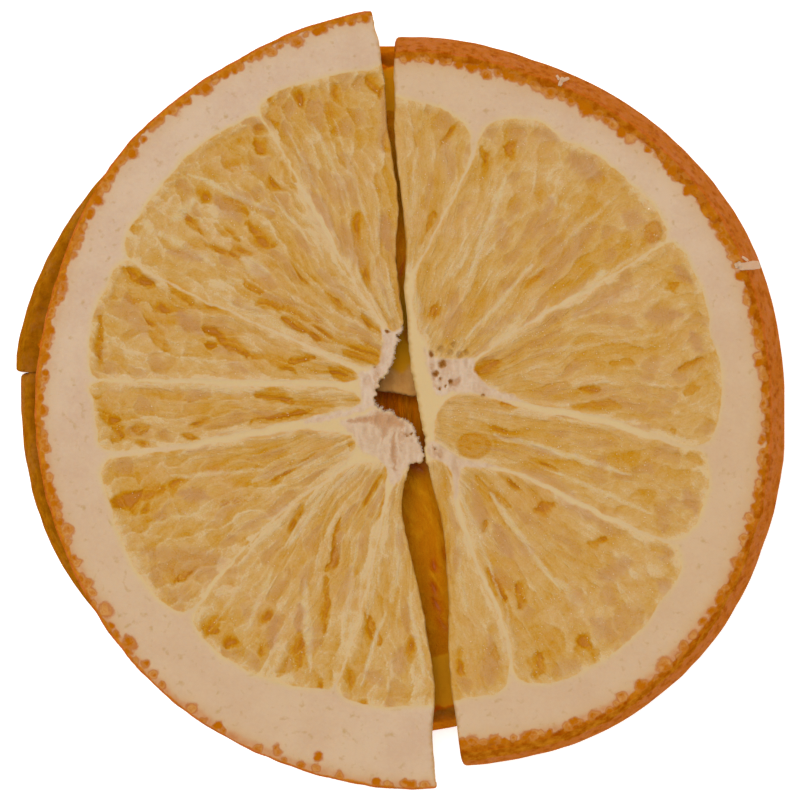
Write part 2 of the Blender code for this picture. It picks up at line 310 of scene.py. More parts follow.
# %% [markdown]
# ## Repeatable roughness
#
# Fruit is uneven at every scale. The helpers below give unevenness that is the same on each run, since they
# work from whole-number grid places and a seed. `soft_noise` is a gentle hill-and-dale field, and `bent`
# uses it to push points about, so that whatever is drawn with them comes out uneven. `cells` cuts the plane
# into rounded cells, one round each jittered grid point. The juice sacs come from it.

# %% Noise and cells
CELL_JITTER = 0.9
BLEND_SHARPNESS = 7.0
FAR = 9.0


def hashed(i, j, seed):
    """A number from 0 to 1 for each whole-number place."""
    n = (i.astype(np.int64) * 374761393 + j.astype(np.int64) * 668265263 + seed * 1442695041) & 0xFFFFFFFF
    n = ((n ^ (n >> 13)) * 1274126177) & 0xFFFFFFFF
    return ((n ^ (n >> 16)) & 0xFFFF) / 65535.0


def soft_noise(x, y, seed):
    """Smooth noise from 0 to 1, with hills about one unit apart."""
    i, j = np.floor(x), np.floor(y)
    u, v = x - i, y - j
    u, v = u * u * (3 - 2 * u), v * v * (3 - 2 * v)
    a, b = hashed(i, j, seed), hashed(i + 1, j, seed)
    c, d = hashed(i, j + 1, seed), hashed(i + 1, j + 1, seed)
    return a + (b - a) * u + (c - a) * v + (a - b - c + d) * u * v


def layered_noise(x, y, seed, layers=3):
    """Soft noise with finer, weaker layers added, from -1 to 1."""
    total, weight = 0.0, 0.0
    for k in range(layers):
        total = total + (soft_noise(x * 2**k, y * 2**k, seed + k) - 0.5) * 2 / 2**k
        weight += 1 / 2**k
    return total / weight


def bent(points, amount, size, seed):
    """The points pushed about by up to an amount, in swirls of a size."""
    push = [layered_noise(points[:, 0] / size, points[:, 1] / size, seed + k) for k in (0, 7)]
    return points + amount * np.column_stack(push)


def cells(u, v, seed):
    """For each place: distance to its cell's centre, gap to the wall, number, blended number, side."""
    i0, j0 = np.floor(u), np.floor(v)
    first, second = np.full(u.shape, FAR), np.full(u.shape, FAR)
    own, side, blended = np.zeros(u.shape), np.zeros(u.shape), np.zeros(u.shape)
    total = np.full(u.shape, 1e-9)
    for di in (-1, 0, 1):
        for dj in (-1, 0, 1):
            i, j = i0 + di, j0 + dj
            cu = i + 0.5 + CELL_JITTER * (hashed(i, j, seed) - 0.5)
            cv = j + 0.5 + CELL_JITTER * (hashed(i, j, seed + 1) - 0.5)
            number = hashed(i, j, seed + 2)
            distance = np.hypot(u - cu, v - cv)
            nearer = distance < first
            second = np.where(nearer, first, np.minimum(second, distance))
            own = np.where(nearer, number, own)
            side = np.where(nearer, u - cu, side)
            first = np.minimum(first, distance)
            weight = np.exp(-BLEND_SHARPNESS * distance**2)
            total += weight
            blended += weight * number
    return first, second - first, own, blended / total, side


# %% [markdown]
# ## Distances in the plane
#
# How far is a point from a line, and is it inside a closed one? The peel, the pith and the segments are all
# told apart by distance, so these helpers do most of the work. A distance only matters up to a few
# millimetres, so each stretch of line looks at the points near it and leaves the rest alone, which is many
# times faster.

# %% Distance helpers
DISTANCE_REACH = 3.0
LINE_STRETCH = 24


def distance_to_line(points, line):
    """Shortest distance from each point to an open line, or the reach where it is further."""
    best = np.full(len(points), DISTANCE_REACH)
    for start in range(0, len(line) - 1, LINE_STRETCH):
        stretch = line[start: start + LINE_STRETCH + 1]
        low, high = stretch.min(0) - DISTANCE_REACH, stretch.max(0) + DISTANCE_REACH
        near = np.flatnonzero(np.all((points > low) & (points < high), axis=1))
        some, closest = points[near], best[near]
        for a, b in zip(stretch[:-1], stretch[1:]):
            along = b - a
            t = np.clip(((some - a) @ along) / max(along @ along, 1e-12), 0, 1)
            gap = some - a - t[:, None] * along
            closest = np.minimum(closest, np.hypot(gap[:, 0], gap[:, 1]))
        best[near] = closest
    return best


def inside_line(points, line):
    """Whether each point is inside a closed line, by counting crossings."""
    inside = np.zeros(len(points), bool)
    x, y = points[:, 0], points[:, 1]
    for (ax, ay), (bx, by) in zip(line, np.roll(line, -1, axis=0)):
        if ay == by:
            continue
        crosses = (ay > y) != (by > y)
        inside ^= crosses & (x < (bx - ax) * (y - ay) / (by - ay) + ax)
    return inside


def closed(line):
    """The line with its first point again at the end."""
    return np.vstack([line, line[:1]])


def depth_inside(points, line):
    """Distance from each point to a closed line, positive inside it, up to the reach."""
    depth = np.full(len(points), -DISTANCE_REACH)
    low, high = line.min(0) - DISTANCE_REACH, line.max(0) + DISTANCE_REACH
    near = np.flatnonzero(np.all((points > low) & (points < high), axis=1))
    distance = distance_to_line(points[near], closed(line))
    depth[near] = np.where(inside_line(points[near], line), distance, -distance)
    return depth


# %% [markdown]
# ## Outline of a half-slice
#
# The peel side swings round the core with a radius that changes slowly. On top of that it is a little wavy,
# since peel shrinks between its pores. The cut side is a smooth line through its own points, roughened as a
# knife leaves dry fruit. Near the core the cut frays into small teeth. The line at the foot is worked out
# from the same steps, so that the flank between the two can be built as straight columns of small faces.

# %% Outline
ROUGH_EDGE = 0.10
FOOT_SPREAD = 0.08
KNIFE_ROUGHNESS = 0.12
SMALL_WAVES = (0.11, 1.4)
LONG_WAVES = (0.07, 5)
TOOTH_SIZE = 0.34
FRAYS_FROM, FRAYS_FULLY = 9.0, 6.0


def peel_share_at(half, degrees):
    """How far round the peel a direction in degrees lies, from 0 at its start to 1 at its end."""
    return np.clip(((degrees - half["facing"] + 180) % 360 - 180) / 180 + 0.5, 0, 1)


def along_peel(values, share):
    """Values given at even steps round the peel, read off at a share of the way."""
    return smooth_along(values, share * (len(values) - 1))


def radius_at(half, degrees):
    """Length from the core to the peel, for directions in degrees."""
    return along_peel(half["radii"], peel_share_at(half, degrees))


def peel_edge_at(half, degrees):
    """Length from the core to the upper edge of the peel."""
    return radius_at(half, degrees) - max(half["flank"], 0) - ROUGH_EDGE


def polar(centre, radius, degrees):
    """Points at a radius and a direction in degrees from a centre."""
    turn = np.radians(degrees)
    return np.column_stack([centre[0] + radius * np.cos(turn), centre[1] + radius * np.sin(turn)])


def round_corners(line, passes=3):
    """The closed line with its corners eased by averaging neighbours."""
    for _ in range(passes):
        line = 0.25 * np.roll(line, 1, axis=0) + 0.5 * line + 0.25 * np.roll(line, -1, axis=0)
    return line


def outlines(half):
    """Closed lines at the upper edge and the foot, the outward direction, and the share of peel."""
    steps = round(math.pi * np.mean(half["radii"]) / OUTLINE_STEP)
    early = half.get("arc_starts_early", 0.0)
    degrees = half["facing"] - 90 - early + (180 + early) * np.arange(steps + 1) / steps
    radius = radius_at(half, degrees)
    way = radius * np.radians(degrees)
    waves = SMALL_WAVES[0] * layered_noise(way / SMALL_WAVES[1], way * 0, half["seed"])
    waves = waves + LONG_WAVES[0] * layered_noise(way / LONG_WAVES[1], way * 0, half["seed"] + 5)
    upper_inset = max(half["flank"], 0) + ROUGH_EDGE
    foot_inset = max(-half["flank"], 0) - FOOT_SPREAD
    arc_upper = polar(half["core"], radius - upper_inset + waves, degrees)
    arc_foot = polar(half["core"], radius - foot_inset + waves * 0.6, degrees)
    count = len(half["cut"])
    cut = smooth_along(np.array(half["cut"]), np.linspace(0, count - 1, 40 * count))
    cut = evenly_spaced(np.vstack([arc_upper[-1:], cut, arc_upper[:1]]), CUT_STEP)[1:-1]
    rough = layered_noise(cut[:, 1] / 0.9, cut[:, 0] / 0.9, half["seed"] + 9, layers=4)
    along = np.gradient(cut, axis=0)
    side = np.column_stack([along[:, 1], -along[:, 0]]) / np.hypot(*along.T)[:, None]
    is_cut = np.r_[np.zeros(len(arc_upper)), np.ones(len(cut))]
    from_end = np.minimum(np.arange(len(cut)), np.arange(len(cut))[::-1]) * CUT_STEP
    side = side * ramp(from_end, 0.0, 1.0)[:, None]
    upper = np.vstack([arc_upper, cut + side * KNIFE_ROUGHNESS * rough[:, None]])
    foot = np.vstack([arc_foot, cut - side * (KNIFE_ROUGHNESS + 0.10 * rough[:, None])])
    if "foot_line" in half:
        foot[len(arc_upper):, 1] = np.maximum(foot[len(arc_upper):, 1], half["foot_line"])
    upper, foot, is_cut = (round_corners(line) for line in (upper, foot, is_cut))
    along = np.roll(upper, -1, axis=0) - np.roll(upper, 1, axis=0)
    outward = np.column_stack([along[:, 1], -along[:, 0]]) / np.hypot(*along.T)[:, None]
    near_core = ramp(np.hypot(*(upper - half["core"]).T), FRAYS_FROM, FRAYS_FULLY)
    teeth = layered_noise(upper[:, 0] / TOOTH_SIZE, upper[:, 1] / TOOTH_SIZE, half["seed"] + 8, layers=2)
    upper = upper + outward * (half.get("fray", 0.0) * near_core * is_cut * teeth)[:, None]
    return upper, foot, outward, 1 - is_cut


# %% [markdown]
# ## Segments that nobody can see
#
# The lower half-slices get even wedges: a tip near the core, straight membranes, and a rim that follows the
# peel.

# %% Even wedges
def wedge_segments(half):
    """Closed lines for even segments."""
    segments = []
    count = half.get("wedge_count", WEDGE_COUNT)
    for i in range(count):
        shares = (i + np.array([0.0, 0.12, 0.5, 0.88, 1.0])) / count
        degrees = half["facing"] - 90 + 180 * shares
        reach = radius_at(half, degrees) * WEDGE_RIM_SHARE * np.array([0.93, 1.0, 1.01, 1.0, 0.93])
        inset = np.degrees(MEMBRANE_HALF_WIDTH / reach) * np.array([1, 0, 0, 0, -1])
        rim = polar(half["core"], reach, degrees + inset)
        tip = polar(half["core"], WEDGE_TIP_RADIUS, degrees[2:3])
        sides = [tip + (corner - tip) * share for corner, share in ((rim[0], 0.4), (rim[0], 0.8))]
        back = [tip + (corner - tip) * share for corner, share in ((rim[-1], 0.8), (rim[-1], 0.4))]
        segments.append([tuple(p) for p in np.vstack([tip, *sides, rim, *back])])
    return segments


for half in (LOWER_BACK, LOWER_FRONT):
    half["segments"] = wedge_segments(half)
    half["apexes"] = [half["core"]] * len(half["segments"])
    half.update(torn=[], holes=[], amber=[], tan=[], pale=[], round_sacs=[], big_glands=[])
LOWER_FRONT["segments"].append(LOWER_FRONT["notch"])
LOWER_FRONT["apexes"].append((1.6, 8.0))
# Tan strokes along the slit: bruised flesh, and partly painted highlights that stand for the pinkish glints
# of sugar there.
LOWER_FRONT["tan"] = [
    (1, -8.6, 2.2, -12, 0.9), (2.6, -12.6, 2.4, -16.6, 0.8), (2.6, -17.4, 3.8, -20.6, 0.9),
    (3.9, -21.6, 3.6, -25.4, 0.8), (0.8, -12.6, 1.6, -14.4, 0.5),
]
# Deep amber filling the notch and round it: painted shade for the dark hollow.
LOWER_FRONT["amber"] = [(-5.0, -0.6, 1.8, -5.6, 1.7), (1.8, -5.6, 6.0, 0.6, 1.5)]
HALVES = [UPPER_LEFT, UPPER_RIGHT, LOWER_BACK, LOWER_FRONT]
print("segments:", {half["node"]: len(half["segments"]) for half in HALVES})

# %% [markdown]
# ## Marks that make each slice itself
#
# Cells alone give an even texture. What makes one slice differ from the next are its accidents: sacs that
# dried hollow and went amber, tan bruised ones, and pale ridges where a skin folded over. Each mark is a
# short stroke with two ends and a half width, tapered at its tips like the sac it was.

# %% Marks on the upper left half
UPPER_LEFT["amber"] = [
    (-20.4, 17.7, -18.7, 15.7, 0.42), (-17.6, 16.8, -15.4, 15.1, 0.38), (-14.8, 11.4, -13.1, 10.2, 0.36),
    (-13.5, 9.3, -11.2, 8.6, 0.36), (-10.9, 8.9, -7.5, 7.6, 0.42), (-7.2, 10.2, -4.2, 8, 0.26),
    (-14.5, 17, -11.8, 14.7, 0.5), (-18.3, 14.7, -15.3, 13.1, 0.3), (-10.9, 7.9, -9, 6.6, 0.35),
    (-18.6, 7, -14.2, 4.4, 0.4), (-13.6, 4.3, -10, 2.6, 0.4), (-4.9, 4.5, -2.2, 3.6, 0.66),
    (-6.6, 2.9, -4.1, 1.3, 0.66), (-26.2, 12.6, -23.6, 11, 0.5), (-22.2, 11.1, -20, 9.4, 0.5),
    (-13.4, 0.5, -10.4, -0.1, 0.6), (-9.6, 0.2, -6.4, -0.6, 0.6), (-14, -1.8, -8, -1.1, 0.34),
    (-25.2, -2.8, -24, -2.8, 0.5), (-28.2, -1, -26.2, -3.2, 0.4), (-27, -9.9, -24.6, -8.9, 0.75),
    (-24.6, -9.2, -22.4, -8.5, 0.6), (-21.2, -17, -19.8, -16.5, 0.35), (-18.4, -21.4, -17.6, -22, 0.8),
    (-9.1, -22.6, -9.7, -25.4, 0.55), (-5.5, -11, -7, -16, 0.24), (-6.9, -17, -6.7, -21.8, 0.36),
    (-1.3, -6.1, -1.2, -7.4, 0.3), (-14.7, -13, -14.5, -13.6, 0.3), (-2.9, -20.4, -2, -23, 0.4),
    (-11, 22.4, -10.1, 20.4, 0.45), (-13.6, 24.4, -12.9, 23.6, 0.7), (-24, 6.3, -22.2, 5, 0.5),
    (-28.4, 8, -28.3, 3.4, 0.3), (-3, 31, -2.2, 29.2, 0.5), (-10.6, 3.6, -8.2, 4.2, 0.3),
    (-3.6, 8.1, -1.9, 6, 0.36), (-16.4, 19.6, -14.6, 17.8, 0.42), (-5, -25, -4.6, -27.2, 0.4),
    (-20.6, -3.4, -19.4, -3.8, 0.3), (-18.4, 14.8, -17, 14, 0.3), (-11.4, -26.2, -10.6, -24.4, 0.3),
    (-24.9, 18.4, -25, 17.4, 0.6), (-4.9, -3.8, -4.3, -4.2, 0.45), (-25.4, 17, -25.2, 16.2, 0.4),
]
UPPER_LEFT["tan"] = [
    (-24.2, -14.2, -17, -15.2, 0.9), (-23, -15.8, -18, -16.2, 0.8), (-20.5, -8.8, -18, -9.2, 0.6),
    (-26, 9.6, -24.6, 6.6, 1), (-13.9, 26.6, -12.6, 25.9, 0.9), (-7.4, 28.8, -7.6, 27.2, 0.6),
    (-5.6, 16.4, -3.6, 12.8, 1.1), (-1.6, 17.6, -0.8, 14.4, 0.55), (-17, -3.2, -8, -2.9, 0.35),
    (-11.8, -20.8, -12, -23, 0.6), (-0.2, -26, 0.2, -23.6, 0.7), (-5.4, -12.6, -6.6, -15.6, 0.5),
    (-17.2, 19.4, -15.4, 17.6, 0.9), (-10.4, -10.2, -12.6, -11, 0.5), (-19, 6.6, -21, 8.2, 0.8),
    (-14.4, 2.6, -16, 3.6, 0.6), (-22, 14.2, -18.6, 13.4, 0.5), (-9, 23.2, -7.8, 20.4, 0.6),
    (-8.4, 19.8, -6.6, 16.6, 0.8), (-12.8, 9.9, -10, 9, 0.4), (-7.6, 12.6, -5.2, 9.6, 0.6),
    (-21.6, -18.2, -20, -18.8, 0.9), (-3.2, -25.6, -1.6, -27, 0.7), (-9.6, -19.6, -9.4, -22, 0.5),
    (-1.7, 29.8, -1.3, 24, 0.5),
]
UPPER_LEFT["pale"] = [
    (-8.2, 26.4, -5, 19.6, 0.3), (-6.2, 26.8, -2.6, 16, 0.22), (-10.6, 25.6, -6.6, 17.6, 0.2),
    (-4.3, 22.4, -2.1, 13.8, 0.16), (-24, 16.8, -17.6, 13, 0.45), (-20, 21.6, -12, 18, 0.3),
    (-12, 19.6, -8.2, 14.6, 0.2), (-26.4, 1.9, -14, 1, 0.4), (-27.2, -5, -14, -3.4, 0.3),
    (-23, -11.4, -14, -9, 0.5), (-21.6, -7.2, -13, -6.6, 0.3), (-9, -17, -8.4, -25.6, 0.4),
    (-14.6, -17, -17.4, -21, 0.2), (-12, -16, -14.4, -21.4, 0.3), (-4, -13.6, -5.6, -24, 0.25),
    (-1, -9.4, -3, -20.4, 0.3), (0, -12, -0.6, -19, 0.5), (0.9, -18.6, 2.6, -26, 0.3),
    (-1.2, -20, -3.6, -27, 0.22), (-13.6, 22.2, -16, 22, 0.3), (-7, -8.6, -10.4, -14, 0.25),
    (-10, 9.2, -3.4, 5.4, 0.3), (-17, 10.4, -9.6, 6.2, 0.5), (-2, 12.4, -0.9, 8.2, 0.8),
    (-14.8, 13.4, -12.6, 12, 0.7), (-17.8, 11.2, -15, 11.4, 0.5), (-1.9, -8.2, -2.8, -14, 0.3),
    (-19.6, 19, -21.6, 17.2, 0.6), (-8, -5.6, -14, -7.6, 0.3),
]

# %% Marks on the upper right half
UPPER_RIGHT["amber"] = [
    (25.5, 10.5, 26.2, 11, 0.42), (20, 3.7, 22.3, 3.6, 0.3), (27.2, 0.9, 28.9, 1.3, 0.4),
    (17.4, 1.4, 19.4, 1, 0.25), (16.6, -0.4, 21.2, -0.3, 0.42), (7.2, 2.9, 9.4, 3.6, 0.6),
    (9.6, -0.3, 11.2, -0.5, 0.34), (13.1, -10.3, 14.6, -10.1, 0.5), (17.3, -22.7, 18, -23.2, 0.8),
    (13.4, -24.2, 13.1, -25.8, 0.6), (8.7, -16, 9.9, -18.8, 0.45), (27.3, -5, 28.6, -5.8, 0.5),
    (3.2, 9.2, 3, 8, 0.45), (8.2, -11.2, 8.1, -12, 0.3), (10, 24.1, 10.6, 23.6, 0.6),
    (3.6, 17.8, 2.4, 15.2, 0.3), (11.4, -17.4, 11.6, -19.6, 0.45), (18.2, -13.6, 19.6, -13, 0.3),
    (26, -3, 26.6, -3, 0.3), (7.8, 24.2, 8, 22.8, 0.35), (9, -23.4, 9.4, -24.4, 0.4),
    (26.4, 3, 28.8, 4, 0.35), (4.6, -6.4, 5, -7.2, 0.4), (7.6, -7.4, 10.6, -9.8, 0.3),
]
UPPER_RIGHT["tan"] = [
    (23.6, 8.2, 26.8, 8, 0.7), (24.2, 16.6, 24.4, 15.2, 0.9), (13.2, 25.3, 14.8, 24.9, 0.9),
    (18.6, 16.8, 14, 11.6, 0.7), (21.6, 17.6, 23.2, 17, 0.9), (6.5, -4.3, 7.9, -4.4, 1.3),
    (12, -6.4, 16.6, -9.2, 0.7), (7.3, -8, 8, -12, 0.6), (16.6, 22.8, 19, 21.4, 1.1),
    (4.6, 24.8, 4.8, 21.6, 0.8), (21.8, -19.8, 23, -20.8, 1.1), (24.8, -14.8, 26, -14.4, 0.8),
    (24.6, -17.4, 26, -17.8, 0.7), (27.8, 6.4, 28.8, 4.8, 0.6), (14.6, 18.8, 12.8, 15.4, 0.6),
    (11, 8.2, 7.6, 6.2, 0.5), (8.6, -23, 9, -26.6, 0.9), (22, 11.2, 17, 8.4, 0.7), (5.6, 8.8, 4.6, 6, 0.8),
    (14.6, -25.6, 16.8, -25, 0.7), (9.6, 16.8, 10.4, 14.8, 0.6), (18.6, -21, 20, -22, 0.9),
    (15, -9, 18.4, -11, 0.8), (9.2, -11.8, 11, -14.6, 0.6), (19.4, -16.4, 22, -15.4, 0.8),
    (27.2, -8.6, 28, -10.4, 0.8), (26, 12.6, 27.4, 11.6, 0.6),
]
UPPER_RIGHT["pale"] = [
    (16.6, 9.6, 10.4, 6.4, 0.35), (14.4, 19.6, 16, 18.2, 0.4), (22.8, 14, 9, 5, 0.25),
    (25, 6.4, 12, 4.4, 0.25), (27, -3.6, 12, -0.8, 0.4), (10, -6.4, 21, -11.6, 0.25),
    (5.4, -7, 9.8, -18.8, 0.25), (8.6, -8.8, 15.4, -18, 0.3), (10, 21, 6.8, 12, 0.4),
    (12.6, 12.8, 6.4, 6, 0.25), (20.6, 19.6, 12.2, 11.6, 0.3), (10.2, -19.4, 10.4, -24.6, 0.2),
    (22, -7, 9, -3.2, 0.35), (24, -10.6, 14, -6.4, 0.25), (6.4, -20, 5.4, -13, 0.35), (1.6, 24, 1, 15, 0.3),
    (19.4, 12.2, 18.8, 11.6, 0.4), (4.4, -1.4, 6.6, -1.8, 1.3), (15, -17, 17.2, -19.4, 0.5),
    (1.2, 11.6, 2.2, 6, 0.5), (2.2, 6, 2.8, -3, 0.5),
]

# %% [markdown]
# ## Cores, torn pith and pits
#
# Where the segments meet, the fruit has a white core. Cutting and drying tore it, so each half keeps ragged
# pieces of it, which stand a little proud. They are drawn as closed lines. `torn` strokes are where the
# white skin has come off and the tan inside shows. `holes` are pits, each with a place and a radius.
# `round_sacs` are sacs cut across: each has a place, a half width, a half depth, a tone from 0 for amber to
# 1 for pale, and a share of tan.

# %% Cores
UPPER_LEFT["core_shapes"] = [
    [(-1.65, 6.9), (-0.6, 6.5), (0.4, 6.9), (0.2, 5.6), (-0.35, 4.3), (-0.9, 3.2), (-1.6, 2.6), (-2.1, 1.8),
     (-2.05, 0.6), (-2.1, -0.4), (-3, -0.7), (-4.2, -0.8), (-3.5, 0.1), (-3.45, 1.2), (-3.8, 2.6),
     (-2.8, 2.9), (-1.95, 3.6), (-1.5, 4.9), (-1.4, 6)],
    [(-5.4, -1.9), (-3.4, -1.5), (-2.3, -0.8), (-1.2, -1.1), (0, -1.3), (0.9, -2.2), (1.9, -2.8),
     (2.3, -4.2), (2.35, -5.6), (1.3, -5.9), (0.5, -6.4), (-0.2, -7.8), (-0.9, -7.6), (-1.1, -6.1),
     (-2.5, -5.1), (-3.4, -4.8), (-4.1, -3.4), (-5, -2.5)],
    [(-3.6, -0.55), (-6, -1.15), (-8.6, -1.75), (-8.6, -2.05), (-6, -1.55), (-3.6, -1)],
]
UPPER_LEFT["torn"] = [
    (-2.8, -1.6, 0.3, -2.1, 0.85), (0.55, -2.4, 0.1, -4.8, 0.16), (-0.4, -3, -0.5, -6.6, 0.26),
    (-1.4, -2.4, -1.6, -4.2, 0.2), (1, -3.3, 0.4, -2.9, 0.2), (-4.8, -2.1, -2.6, -1.5, 0.25),
    (-2.1, 3, -2.2, 1.2, 0.22), (0.3, -2.6, 0.1, -4.4, 0.14),
]
UPPER_LEFT["holes"] = [
    (-1.1, 6.6, 0.2), (-0.1, 6.2, 0.15), (1.2, -3.1, 0.16), (0.75, -3.4, 0.1), (-2.3, 3.3, 0.14),
]
UPPER_RIGHT["core_shapes"] = [
    [(2.4, 5), (3.1, 4.2), (5, 4), (7, 3.9), (7.2, 2.7), (8.6, 1.4), (11.6, 0.1), (9, 0.4), (7.2, 0.7),
     (5.3, 1), (3.7, 0.7), (3.1, 2.3)],
    [(2.6, -4.1), (3.5, -4), (5.1, -5), (6.2, -5.6), (9.4, -6.3), (6.3, -6.2), (5.7, -6.6), (5.45, -9.4),
     (5.05, -6.8), (4, -5.8), (2.8, -5.2)],
]
UPPER_LEFT["round_sacs"] = []
UPPER_RIGHT["round_sacs"] = [
    (5.6, -1.7, 1.95, 1.8, 0.72, 0), (7.2, -4.2, 1.7, 1.2, 0.36, 0.35), (24.1, 16, 0.95, 1.1, 0.35, 0.5),
]
UPPER_RIGHT["torn"] = [(3.1, 3.4, 3.4, 1.4, 0.4), (3.2, -4.4, 3.8, -5.2, 0.3), (5.8, 2.2, 5.0, 1.4, 0.3)]
UPPER_RIGHT["holes"] = [
    (4.15, 3.5, 0.42), (3.5, 2.6, 0.3), (4.9, 1.85, 0.26), (3.9, 2.1, 0.16), (3.85, 1.2, 0.15),
    (7.95, 0.5, 0.2), (3.1, 4.5, 0.28), (4.9, 4.6, 0.2), (5.8, 4.4, 0.26), (4, 5, 0.24), (4.4, 1.4, 0.14),
    (6.4, 4.6, 0.2), (5.2, 5.4, 0.22), (3.4, -4.6, 0.12),
]

# %% [markdown]
# ## Drawing the marks on the map
#
# All marks are measured on bent points, so a straight stroke comes out as an uneven hollow. Each stroke
# also gets its own strength, so that some are deep amber and others only golden. Dried sacs lap over each
# other like roof tiles, so a hollow ends crisply on one side, under its neighbour's edge, and fades out on
# the other.

# %% Mark masks
def stroke_mask(points, strokes, seed, lap=0.0):
    """Up to 1 along each tapered stroke, 0 beyond its sides. A lap makes one side crisp, the other wide."""
    mask = np.zeros(len(points))
    numbers, zero = np.arange(len(strokes)), np.zeros(len(strokes))
    strengths = 0.55 + 0.45 * hashed(numbers, zero, seed)
    sides = np.where(hashed(numbers, zero + 1, seed) < 0.75, 1, -1)
    for (x0, y0, x1, y1, half_width), strength, crisp in zip(strokes, strengths, sides):
        start, along = np.array([x0, y0]), np.array([x1 - x0, y1 - y0])
        low = np.minimum(start, start + along) - half_width * 3
        high = np.maximum(start, start + along) + half_width * 3
        near = np.all((points > low) & (points < high), axis=1)
        some = points[near]
        t = np.clip((some - start) @ along / (along @ along), 0, 1)
        gap = some - start - t[:, None] * along
        outward = start + along / 2
        turned = (outward[0] * gap[:, 1] - outward[1] * gap[:, 0]) * crisp > 0
        width = half_width * (0.45 + 0.55 * np.sin(np.pi * t))
        reach = np.hypot(*gap.T) / width
        shown = np.where(turned & (lap > 0), ramp(reach, 1.3, 0.5), ramp(reach, 1.9 + lap, 0.2))
        mask[near] = np.maximum(mask[near], strength * shown)
    return mask


def spot_mask(points, spots):
    """1 at the middle of round spots, each given by its place and radius, and a half at their edge."""
    mask = np.zeros(len(points))
    for x, y, radius in spots:
        reach = np.hypot(points[:, 0] - x, points[:, 1] - y) / radius
        mask = np.maximum(mask, ramp(reach, 1.6, 0.4))
    return mask


def shape_depth(points, shapes):
    """Greatest depth inside any of several closed curves."""
    return np.max([depth_inside(points, closed_curve(shape)) for shape in shapes], axis=0)


# %% [markdown]
# ## Oil glands
#
# Just under the peel sits a row of oil glands, about a millimetre across. Sliced and dried they look like
# small orange beads that bite into the pith. The large ones have their own places. Between them small ones
# are set out one after another along the peel, each with its own size and depth.

# %% Glands
UPPER_LEFT["big_glands"] = [
    (-31.6, -12.3, 0.6), (-30.5, -15.4, 0.38), (-30.2, -16.9, 0.5), (-29.2, -19.2, 0.38),
    (-27.9, -20, 0.72), (-27, -22.2, 0.4), (-25.6, -22.9, 0.7), (-24.1, -25, 0.42), (-23.3, -25.9, 0.45),
    (-22.5, -27.1, 0.4), (-19.7, -29.2, 0.48), (-17.2, -30.8, 0.45), (-11.6, -33.2, 0.5),
    (-7.6, -33.8, 0.45), (-32, 12.8, 0.55), (-33.2, 8.4, 0.55), (-33.1, 10, 0.4), (-20.8, 28.1, 0.4),
    (-24.9, 24.4, 0.35),
]
UPPER_RIGHT["big_glands"] = [
    (21.2, 25.6, 0.5), (23.4, 25, 0.6), (24.8, 24.1, 0.55), (25.1, 23.1, 0.42), (26.3, 22.6, 0.5),
    (27.3, 21.4, 0.52), (28, 20.5, 0.5), (28.9, 19.3, 0.72), (29.5, 18.6, 0.5), (30.7, 16.6, 0.48),
    (32, 14.3, 0.42), (32.5, 12, 0.56), (33.2, 10.5, 0.52), (33.6, 8.4, 0.56), (32.1, -15.3, 0.56),
    (31.8, -16.7, 0.56), (31.1, -17.8, 0.36), (30.3, -19, 0.36), (29.7, -20, 0.5), (28.9, -21, 0.4),
    (28, -22.3, 0.5), (27.1, -23.3, 0.52), (26.6, -24.3, 0.44), (25.3, -25.2, 0.8), (24.5, -26.4, 0.4),
    (23.1, -27, 0.66), (21.1, -28.2, 0.6), (20, -29.5, 0.42), (18.5, -29.9, 0.6), (16, -31, 0.55),
    (8.3, 31, 0.5), (16.3, 28.4, 0.5), (33.3, -11, 0.5),
]


GLAND_STEP = 0.85


def glands(half):
    """Centres and radii of the oil glands along the peel."""
    seed = half["seed"]
    count = int(math.pi * np.mean(half["radii"]) / GLAND_STEP)
    k, zero = np.arange(count), np.zeros(count)
    share = (k + 0.5 + 0.8 * (hashed(k, zero, seed + 31) - 0.5)) / count
    band = along_peel(half["gland_band"], share)
    size = 0.28 + 0.26 * hashed(k, zero + 1, seed + 32) ** 2 + 0.14 * band
    degrees = half["facing"] - 90 + 180 * share
    hang = 0.6 * band + size * (0.3 + 0.7 * hashed(k, zero + 2, seed + 33))
    centres = polar(half["core"], peel_edge_at(half, degrees) - hang, degrees)
    big = np.array(half["big_glands"]).reshape(-1, 3)
    clear = [np.all(np.hypot(*(big[:, :2] - c).T) > big[:, 2] + s * 0.4) for c, s in zip(centres, size)]
    clear = np.array(clear) & (hashed(k, zero + 3, seed + 34) < 0.4 + band)
    return np.vstack([centres[clear], big[:, :2]]), np.r_[size[clear], big[:, 2]]


def gland_fields(points, half):
    """How far each point is inside a gland, with a half at the gland's edge, and the gland's tone."""
    inside, tone = np.zeros(len(points)), np.zeros(len(points))
    centres, sizes = glands(half)
    tones = hashed(np.arange(len(sizes)), np.zeros(len(sizes)), half["seed"] + 35)
    uneven = bent(points, 0.24, 0.6, half["seed"] + 36)
    for centre, size, own_tone in zip(centres, sizes, tones):
        near = np.all(np.abs(uneven - centre) < size * 1.7, axis=1)
        reach = np.hypot(*(uneven[near] - centre).T) / size
        own = np.clip(1.5 - reach, 0, 1)
        tone[near] = np.where(own > inside[near], own_tone, tone[near])
        inside[near] = np.maximum(inside[near], own)
    return inside, tone


# %% [markdown]
# ## Which way the sacs run
#
# Juice sacs fan out gently from their segment's tip. So their cells are cut in polar terms: the angle round
# a point some way behind the tip gives the place across, and the distance from it gives the place along. A
# cell that is even in those terms comes out as a teardrop: narrow at the tip, long in the middle and round
# at the rim. With the point at the tip itself, all sacs would shrink to hairs there.

